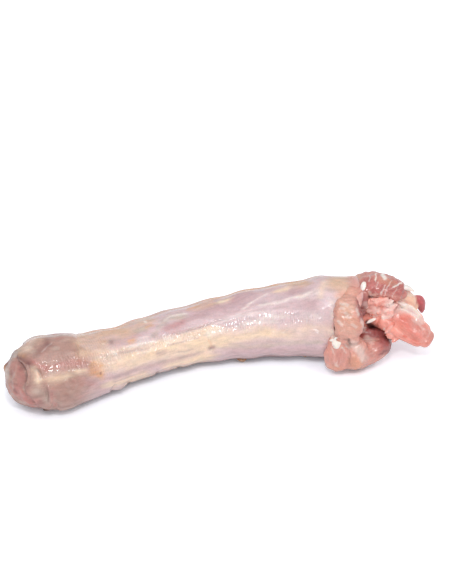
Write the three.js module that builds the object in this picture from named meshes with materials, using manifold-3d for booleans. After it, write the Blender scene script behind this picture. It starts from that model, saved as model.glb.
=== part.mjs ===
// Raw turkey neck, lying on a table: a curved sleeve of muscle and fascia round the neck bones.
// Millimetres, +Z up, table at z = 0, neck along X with the cut end at +X and the front at -Y.
import * as THREE from "three";
import { LoftGeometry } from "three/addons/geometries/LoftGeometry.js";
import { mergeVertices } from "three/addons/utils/BufferGeometryUtils.js";
import Module from "manifold-3d";

const wasm = await Module();
wasm.setup();

// Driving dimensions of the sleeve, read along its axis from the knob to the cut end.
const AXIS = [
  { x: -117, y: -13.4, radius: 14.6 },
  { x: -111.5, y: -14.2, radius: 18.4 },
  { x: -98, y: -14.4, radius: 21.2 },
  { x: -81, y: -10.8, radius: 19.7 },
  { x: -56, y: -2.3, radius: 16.9 },
  { x: -31, y: 6.7, radius: 16.7 },
  { x: -7, y: 12.4, radius: 17.2 },
  { x: 17, y: 14.8, radius: 19.5 },
  { x: 40, y: 14.8, radius: 20.9 },
  { x: 66, y: 11.4, radius: 23.3 },
  { x: 81, y: 8.8, radius: 22.4 },
];
const SECTION_WIDTH = 1.04; // half width of a section over its radius
const SECTION_HEIGHT = 0.97; // half height of a section over its radius
const SINK = 0.94; // axis height over half height: the rest is pressed flat on the table
const LOWEST_AXIS = 16.5; // the axis keeps this height where the knob narrows
const TABLE_SIZE = 400; // the slab that is cut away under the table
const TABLE_DEPTH = 30;

// The muscles of the sleeve stand out as long rounded cords, with a groove on each side.
// turn is the angle round the axis, from the front (0) over the top (90), at the knob and at the cut.
const CORDS = [
  { turn: [66, 62], width: 17, height: 0.9 },
  { turn: [36, 22], width: 12, height: 0.7 },
  { turn: [4, -14], width: 15, height: 0.9 },
  { turn: [104, 98], width: 14, height: 0.8 },
  { turn: [142, 150], width: 18, height: 1.0 },
  { turn: [188, 198], width: 18, height: 0.9 },
];
const KNUCKLE_PITCH = 21; // spacing of the neck bones, which show as faint swellings
const KNUCKLE_HEIGHT = 0.35;

// Mesh fineness
const SLEEVE_STEPS = 64;
const SLEEVE_SIDES = 32;
const LOBE_STEPS = 12;
const STEPS_PER_WRINKLE = 4;
const LOBE_SIDES = 14;
const COLUMN_STEPS = 14;
const COLUMN_SIDES = 12;
const MERGE = 1e-4; // corners closer than this are one

// Local frames of the two ends: a point is [out of the end, towards the front, up].
const CUT_END = { x: 74.5, y: 9.9, z: 22, heading: -9 };
const KNOB_END = { x: -98, y: -14.4, z: 18.6, heading: 172 };

// Lobes of cut muscle: a path, the half width across it, the half thickness, how many wrinkles
// cross it, and how blunt its ends are.
const CUT_LOBES = [
  { path: [[4, 12, 21], [4.6, 21, 13.5], [9, 25, 3.5]], width: 9.5, thick: 6.5, wrinkles: 5 },
  { path: [[-10, 6, 15.5], [4, 8, 17], [15, 6, 16.5]], width: 10.5, thick: 6.5 },
  { path: [[1, -4, 19], [20, -4.5, 20.5], [35, -3, 15.5]], width: 10.5, thick: 6.5 },
  { path: [[0.5, 22, 6], [0, 26, -8], [-1, 25.5, -18.5]], width: 7.8, thick: 6.5, wrinkles: 3 },
  { path: [[9.5, 21, 0], [9.5, 24, -10], [9, 23.5, -19]], width: 6.8, thick: 6.5 },
  { path: [[-6, 14, -11], [16, 17, -11.5]], width: 9, thick: 8 },
  { path: [[8, 19, -13.5], [20, 16, -11], [31, 8, -7.5]], width: 8.2, thick: 7 },
  { path: [[0, -4, -14], [24, -2, -12.5]], width: 14, thick: 7 },
  { path: [[-4, -18.5, -4], [18, -16.5, -4]], width: 13, thick: 6.5 },
  { path: [[-4, -14.5, 12], [23, -12, 11.5]], width: 11, thick: 6.5 },
];
// The plug of muscle that fills the knob's end, and a fold of skin under it.
const KNOB_LOBES = [
  { path: [[2, 1.5, 0], [29, -1, -2]], width: 16, thick: 14.5, blunt: 0.8 },
  { path: [[4, 15.5, -6], [-5, 19, -11.5]], width: 5.5, thick: 4.5 },
];
const LOBE_BLUNT = 0.62; // 1 is an ellipsoid's end, smaller is blunter
const LOBE_TIP = 0.35; // share of a step that is left off each end, where the lobe is closed flat
const WRINKLE_DEPTH = 0.07; // depth of a wrinkle over the lobe's half thickness
const NEAR_AXIS = 9; // a lobe closer than this to the axis of its end has its thickness upright

// The column of neck bones runs through the sleeve and stands out of the cut end.
const COLUMN_RADIUS = 6.5;
const COLUMN_START = 0.2; // share of the axis where the column begins, inside the knob
const BONE_GAP = 0.35; // clearance between bone and muscle
const BONE_LOBES = [
  { path: [[-4, 0, 0], [14, 0, 2.5], [36, 1, 5.5]], width: 10, thick: 9 },
  { path: [[22, 1, 4], [41, 6.5, 0.5], [53, 10.5, -6.5]], width: 9.6, thick: 8.4 },
  { path: [[22, -6, 6], [36, -8, 6.5], [46, -7.5, 2]], width: 8, thick: 7.5 },
  { path: [[43, -10, 4], [50, -10.5, -2]], width: 4, thick: 4 },
];

const FLESH_COLOUR = 0xd8b0a8;
const FLESH_ROUGHNESS = 0.4;
const BONE_COLOUR = 0xeeb0a0;
const BONE_ROUGHNESS = 0.45;
const UP = new THREE.Vector3(0, 0, 1);
const { degToRad, radToDeg, lerp, euclideanModulo } = THREE.MathUtils;

// Closed solid of a mesh: only its positions count, and shared corners are merged.
function solidOf(geometry) {
  const bare = new THREE.BufferGeometry();
  bare.setAttribute("position", geometry.getAttribute("position"));
  bare.setIndex(geometry.index);
  const merged = mergeVertices(bare, MERGE);
  return new wasm.Manifold(
    new wasm.Mesh({
      numProp: 3,
      vertProperties: new Float32Array(merged.attributes.position.array),
      triVerts: new Uint32Array(merged.index.array),
    }),
  );
}

function geometryOf(solid) {
  const mesh = solid.getMesh();
  const geometry = new THREE.BufferGeometry();
  geometry.setAttribute("position", new THREE.BufferAttribute(mesh.vertProperties, 3));
  geometry.setIndex(new THREE.BufferAttribute(mesh.triVerts, 1));
  geometry.computeVertexNormals();
  return geometry;
}

function union(solids) {
  return solids.reduce((whole, next) => whole.add(next));
}

// Solid through a row of closed sections, flat at both ends.
function loft(sections) {
  return solidOf(new LoftGeometry(sections, { capStart: true, capEnd: true }));
}

// An oval section: reach(angle) gives its half width and half height there, in the plane of the
// two directions.
function oval(centre, across, upward, sides, reach) {
  return Array.from({ length: sides }, (_, k) => {
    const angle = (-2 * Math.PI * k) / sides;
    const [width, height] = reach(angle);
    return centre
      .clone()
      .addScaledVector(across, width * Math.cos(angle))
      .addScaledVector(upward, height * Math.sin(angle));
  });
}

// The axis and the radius along it, as two curves with one shared parameter from 0 to 1.
function axisPoint({ x, y, radius }) {
  return new THREE.Vector3(x, y, Math.max(radius * SECTION_HEIGHT * SINK, LOWEST_AXIS));
}
const axisCurve = new THREE.CatmullRomCurve3(AXIS.map(axisPoint));
const radiusCurve = new THREE.SplineCurve(AXIS.map(({ x, radius }) => new THREE.Vector2(x, radius)));

// Centre of a section and its direction towards the front.
function station(share) {
  const centre = axisCurve.getPoint(share);
  const tangent = axisCurve.getTangent(share);
  const front = tangent.clone().cross(UP).setZ(0).normalize();
  return { centre, tangent, front };
}

// Height of the relief at an angle round the axis: rounded cords, and a swelling at each neck bone.
function relief(share, angle) {
  const along = axisCurve.getPoint(share).x;
  let height = KNUCKLE_HEIGHT * Math.cos((2 * Math.PI * along) / KNUCKLE_PITCH);
  for (const cord of CORDS) {
    const middle = lerp(cord.turn[0], cord.turn[1], share);
    const away = euclideanModulo(radToDeg(angle) - middle + 180, 360) - 180;
    height += cord.height * Math.exp(-((away / cord.width) ** 2));
  }
  return height;
}

// The sleeve: upright ovals round the axis, raised by the relief.
function sleeve() {
  const sections = Array.from({ length: SLEEVE_STEPS + 1 }, (_, i) => {
    const share = i / SLEEVE_STEPS;
    const { centre, front } = station(share);
    const radius = radiusCurve.getPoint(share).y;
    return oval(centre, front, UP, SLEEVE_SIDES, (angle) => {
      const reach = radius + relief(share, angle);
      return [reach * SECTION_WIDTH, reach * SECTION_HEIGHT];
    });
  });
  return loft(sections);
}

// A point given in the local frame of an end.
function place(end, [out, front, up]) {
  const heading = degToRad(end.heading);
  const outward = new THREE.Vector3(Math.cos(heading), Math.sin(heading), 0);
  const forward = new THREE.Vector3(Math.sin(heading), -Math.cos(heading), 0);
  if (forward.y > 0) forward.negate();
  return new THREE.Vector3(end.x, end.y, end.z)
    .addScaledVector(outward, out)
    .addScaledVector(forward, front)
    .addScaledVector(UP, up);
}

// A rounded lobe carried along a path, waisted at each wrinkle. Its thickness points away from the
// axis of its end, and grow makes it larger all round.
function lobe(end, { path, width, thick, wrinkles = 0, blunt = LOBE_BLUNT }, grow = 0) {
  const curve = new THREE.CatmullRomCurve3(path.map((point) => place(end, point)));
  const middle = place(end, [0, 0, 0]);
  const axis = place(end, [1, 0, 0]).sub(middle);
  const away = curve.getPoint(0.5).sub(middle).projectOnPlane(axis);
  if (away.length() < NEAR_AXIS) away.copy(UP);
  const steps = Math.max(LOBE_STEPS, wrinkles * STEPS_PER_WRINKLE);
  const sections = Array.from({ length: steps + 1 }, (_, i) => {
    const turn = (Math.PI * (i + LOBE_TIP)) / (steps + 2 * LOBE_TIP);
    const share = (1 - Math.cos(turn)) / 2;
    const waist = 1 - WRINKLE_DEPTH * Math.sin(Math.PI * wrinkles * share) ** 2;
    const taper = waist * Math.sin(turn) ** blunt;
    const tangent = curve.getTangent(share);
    const centre = curve.getPoint(share).addScaledVector(tangent, -grow * Math.cos(turn));
    const outward = away.clone().projectOnPlane(tangent).normalize();
    const across = tangent.clone().cross(outward);
    return oval(centre, across, outward, LOBE_SIDES, () => [width * taper + grow, thick * taper + grow]);
  });
  return loft(sections);
}

// The column of neck bones inside the sleeve: a plain rod along the axis.
function column(grow) {
  const reach = COLUMN_RADIUS + grow;
  const sections = Array.from({ length: COLUMN_STEPS + 1 }, (_, i) => {
    const { centre, tangent, front } = station(lerp(COLUMN_START, 1, i / COLUMN_STEPS));
    centre.addScaledVector(tangent, grow * ((2 * i) / COLUMN_STEPS - 1));
    return oval(centre, front, UP, COLUMN_SIDES, () => [reach, reach]);
  });
  return loft(sections);
}

function bone(grow) {
  return union([column(grow), ...BONE_LOBES.map((shape) => lobe(CUT_END, shape, grow))]);
}

function flesh() {
  const cutLobes = CUT_LOBES.map((shape) => lobe(CUT_END, shape));
  const knobLobes = KNOB_LOBES.map((shape) => lobe(KNOB_END, shape));
  const slab = new THREE.BoxGeometry(TABLE_SIZE, TABLE_SIZE, TABLE_DEPTH);
  const table = solidOf(slab.translate(0, 0, -TABLE_DEPTH / 2));
  return union([sleeve(), ...cutLobes, ...knobLobes]).subtract(table).subtract(bone(BONE_GAP));
}

function part(name, solid, color, roughness) {
  const material = new THREE.MeshStandardMaterial({ color, roughness, metalness: 0 });
  const mesh = new THREE.Mesh(geometryOf(solid), material);
  mesh.name = name;
  return mesh;
}

const neck = new THREE.Group();
neck.name = "turkey_neck";
neck.add(part("flesh", flesh(), FLESH_COLOUR, FLESH_ROUGHNESS));
neck.add(part("neck_bone", bone(0), BONE_COLOUR, BONE_ROUGHNESS));

export default neck;
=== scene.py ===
"""Raw turkey neck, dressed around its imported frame: the sleeve of fascia and fat, cut muscle and bone."""

from collections import namedtuple
import math

import bpy
import numpy as np
from mathutils import Matrix


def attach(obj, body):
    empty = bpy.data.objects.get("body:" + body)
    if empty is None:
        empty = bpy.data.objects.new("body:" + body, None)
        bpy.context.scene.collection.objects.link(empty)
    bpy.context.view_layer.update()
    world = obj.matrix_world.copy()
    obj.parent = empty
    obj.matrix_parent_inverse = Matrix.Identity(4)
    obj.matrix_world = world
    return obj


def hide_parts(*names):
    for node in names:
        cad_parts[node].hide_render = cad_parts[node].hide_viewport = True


bl_info = {
    "name": "Raw Turkey Neck",
    "version": (1, 0, 0),
    "blender": (4, 5, 0),
    "location": "View3D > Sidebar > Neck",
    "description": "Builds the flesh, the bone and the stage of a raw turkey neck around its frame",
    "category": "Add Mesh",
}

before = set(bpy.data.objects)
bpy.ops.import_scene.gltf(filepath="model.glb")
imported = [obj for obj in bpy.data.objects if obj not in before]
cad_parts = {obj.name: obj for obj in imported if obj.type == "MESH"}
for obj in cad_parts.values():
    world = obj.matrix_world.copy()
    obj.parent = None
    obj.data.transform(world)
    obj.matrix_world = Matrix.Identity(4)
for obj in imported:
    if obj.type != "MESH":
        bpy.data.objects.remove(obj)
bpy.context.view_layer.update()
BODY = "root"
MM = 0.001
UP = np.array([0.0, 0.0, 1.0])
MIDDLE = (0, 0, 20)  # middle of the neck, in millimetres

# Stations along the axis of the sleeve, in millimetres: x, y and radius, from the knob to the cut.
STATIONS = np.array([
    [-117, -13.4, 16.4], [-111.5, -14.2, 19.3], [-98, -14.4, 21.2], [-81, -10.8, 19.7],
    [-56, -2.3, 16.9], [-31, 6.7, 16.7], [-7, 12.4, 17.2], [17, 14.8, 19.5],
    [40, 14.8, 20.9], [66, 11.4, 23.3], [81, 8.8, 22.4],
])
SECTION_WIDTH = 1.04  # half width of the sleeve's section over its radius
SECTION_HEIGHT = 0.97  # half height of the section over its radius
SINK = 0.94  # height of the axis over the table, as a share of the section's half height
LOWEST_AXIS = 16.5  # least height of the axis, in millimetres
PRESS = 0.9  # how softly the underside flattens on the table, in millimetres
TABLE_SHADE_FROM, TABLE_SHADE_TO = 7.5, 3.0  # heights between which painted shade darkens the sleeve towards the table
TABLE_SHADE_DEPTH = 0.6  # how dark that painted shade is

# The sleeve's outline from the middle of the knob's crease, over the body, to the floor of the cut:
# x in millimetres, share of the radius, and how many rows of the mesh the stretch before it takes.
MERIDIAN = [
    (-105, 0.02, 0), (-106, 0.45, 5), (-109, 0.7, 6), (-113.5, 0.8, 6), (-116, 0.9, 6), (-115, 0.985, 6),
    (-111.5, 1, 10), (-60, 1, 100), (0, 1, 112), (60, 1, 116), (70, 1, 20), (72.2, 0.975, 8),
    (71.5, 0.93, 6), (66, 0.86, 8), (58, 0.76, 8), (54, 0.5, 6), (53, 0.02, 6),
]
SLEEVE_COLUMNS = 220
STRAIGHT_RADIUS = 19  # radius of the sleeve when it is straightened for noise and fibres
KNOB_TIP = -116  # x of the outline at the knob's lip
KNOB_EDGE = -80  # x where the knob's muscle ends

# The edge of the sleeve at the knob: angle, and x of the lip there. Angles run from the front (0) over the
# top (90) to the back (180).
KNOB_LIP = [
    (-90, -104), (-60, -101.5), (-30, -101.5), (-12, -104.5), (2, -107.5), (14, -109), (30, -109.5),
    (45, -109.3), (56, -109), (66, -110.8), (76, -114), (90, -114), (110, -112.5), (140, -112),
    (200, -112), (240, -110), (270, -104),
]
LIP_WAVE = (0.7, 9, 80)  # height, waves round the sleeve, and phase

# The rim of the sleeve at the cut reaches further over the top, and less far at the lower front.
RIM_REACH = 13.5
RIM_ANGLES = ((42, 58), (125, 160))
RIM_DIP = (3, -18, 26)  # depth, angle and half width
RIM_WAVES = ((0.9, 5, 40), (0.6, 11, 0))
RIM_RUN = (35, 70)  # x over which the rim's shift grows

# Long rounded cords of muscle: angle at the knob and at the cut, half width, share of the cord height.
CORDS = [
    (66, 62, 17, 0.9), (36, 22, 12, 0.7), (4, -14, 15, 0.9), (104, 98, 14, 0.8), (142, 150, 18, 1),
    (188, 198, 18, 0.9),
]
KNUCKLE_PITCH = 21
# Furrows in the sleeve's far side: half width in degrees, share of the groove depth, and (x, angle) points.
FURROWS = [
    (4, 0.9, [(-70, 126), (0, 128), (70, 122)]), (4, 0.8, [(-80, 172), (0, 174), (70, 170)]),
    (4, 0.7, [(-80, 215), (0, 218), (70, 212)]),
]
STRIPE_FADE = 5  # half of the run over which the end of a furrow or a stripe fades
FLARE_RUN = (50, 84)  # x over which the top swells out towards the cut
FLARE_ANGLE, FLARE_WIDTH = 92, 40
# The step at the knob's edge, as a share of the groove depth, and the flap of skin on the knob's lower
# front, as a share of the fold depth. STEP_ANGLES and FLAP_RUN are where each rises and where it falls.
STEP_ANGLES = ((48, 62), (100, 125))
STEP_SHARE = 0.4
STEP_HALF_RUN = 1.2
FLAP_RUN = ((-97.5, -95.5), (-94, -82))
FLAP_ANGLE, FLAP_WIDTH = -22, 30
FLAP_SHARE = 1.3
# Line of the band with fine ripples across the sleeve, its half width, and the ripples' pitch.
RIPPLED = [
    (-106, 57), (-95, 55), (-80, 52), (-40, 48), (20, 45), (66, 43),
]
RIPPLE_WIDTH = 13
RIPPLE_PITCH = 2.3
# Noises of the sleeve: height, cell in millimetres and seed.
SLEEVE_LUMPS = ((0.7, (22, 8, 8), 5), (0.45, (9, 3.6, 3.6), 6), (0.14, (16, 1.3, 1.3), 7), (0.1, 2.2, 8))
RIPPLE_WOBBLE = (1.1, (6, 2.6, 2.6), 9)
KNOB_WOBBLE = (1.2, 9, 3)
STRIPE_SWING = ((5, (22, 9, 9), 11), (2.5, (7, 3, 3), 12))
STRIPE_DRIFT = (2.2, (9, 7, 7), 13)
STROKE_SWAY = ((0.7, (14, 4, 4), 14), (0.35, (9, 1.5, 1.5), 15))
STROKE_FADE = (0.4, (13, 4, 4), 16)
GRIT_BUMPS = (1, (1.5, 1.9, 1.9), 94)
KNOB_PATCHES = {"raw": (1, (6, 4, 4), 17), "film": (1, (6, 4, 4), 18), "shade": (1, (6, 4, 4), 19)}

# Local frames of the two ends and of the neck itself, in millimetres: a point is out of the end, towards
# the front, and up.
CUT_END = {"origin": (74.5, 9.9, 22.0), "heading": -9.0}
KNOB_END = {"origin": (-98.0, -14.4, 18.6), "heading": 172.0}
TABLE_EDGE = {"origin": (0, 0, 0), "heading": 0}
TRACK_STEPS = 25  # steps along the spine of a lobe
NEAR_AXIS = 9  # lobes nearer to their end's axis than this point up
BLUNT = 0.62  # power that draws in the ends of a lobe that has no power of its own
TIP_SHARE = 0.14  # least share of a lobe's size at its tips
FIELD_REACH = 5  # how far round a lobe its field is worked out, in softnesses
FIELD_LIMIT = 40  # greatest distance that the field tells apart, in softnesses
RELAX_TIMES = 2
SHRED_FLATNESS = 0.8

# The view in which the tissues are placed, which is the camera's too.
SEEN_FROM = 38  # height over the horizon, in degrees
SEEN_TURN = -8  # turn round the neck, in degrees
SEEN_DISTANCE = 1400  # distance from the neck, in millimetres
SEEN_AIM = (6.5, 28.4)  # how far right of the neck's middle and above it the view looks
WHOLE_SEEN = (0, 0)
CUT_SEEN = (72.4, 29.7)  # where the middle of the cut shows in that view
FACING = (-0.3, -0.02)  # what is turned away by more than this has no strokes
SOFT, CRISP = 2, 4  # powers of the bell curves of soft and crisp strokes
LONG_STROKE = 6  # a stroke longer than this many half widths has thinner ends
END_RUN = 2.5  # how far such an end reaches, in half widths
END_WIDTH, END_STRENGTH = 0.5, 0.4  # shares of the width and the strength at its tip

# Where each tissue shows on the sleeve's far side: half width in degrees, strength, and (x, angle) points.
FAR_STRIPES = {
    "lean": [
        (24, 0.8, [(-70, 158), (-20, 160), (40, 156), (74, 150)]),
        (26, 0.6, [(-70, 235), (-10, 238), (74, 232)]),
    ],
    "fat": [
        (9, 0.7, [(-60, 186), (0, 192), (60, 188)]), (14, 0.6, [(-90, 275), (-20, 280), (60, 272)]),
    ],
    "skin": [
        (9, 0.7, [(-80, 127), (-43, 128), (0, 130), (40, 128), (70, 124)]),
        (12, 0.45, [(-80, 212), (0, 214), (70, 210)]),
    ],
    "film": [(8, 0.6, [(-74, 172), (0, 175), (72, 170)])],
    "sheen": [(4, 0.5, [(-60, 146), (0, 144), (66, 140)])],
}

# Lines that more than one tissue or fold of the sleeve follows.
LOWER_SEAM = (
    (-63, -6), (-56.5, -4.5), (-47.3, -1.6), (-40, 0.3), (-31.8, 3.2), (-25.4, 4.5), (-17, 7), (-6.3, 9.3),
)
FAT_SEAM = ((-56.7, 8.8), (-47.4, 9.9), (-38.2, 11.4))
UPPER_SEAM = ((-30, 19.2), (-15.5, 21.8), (-6.8, 23.8), (-2.2, 26.3), (4.8, 28.2))
FAT_SHEEN = ((-51, 12.2), (-41.6, 14), (-32.4, 15.7))
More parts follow.
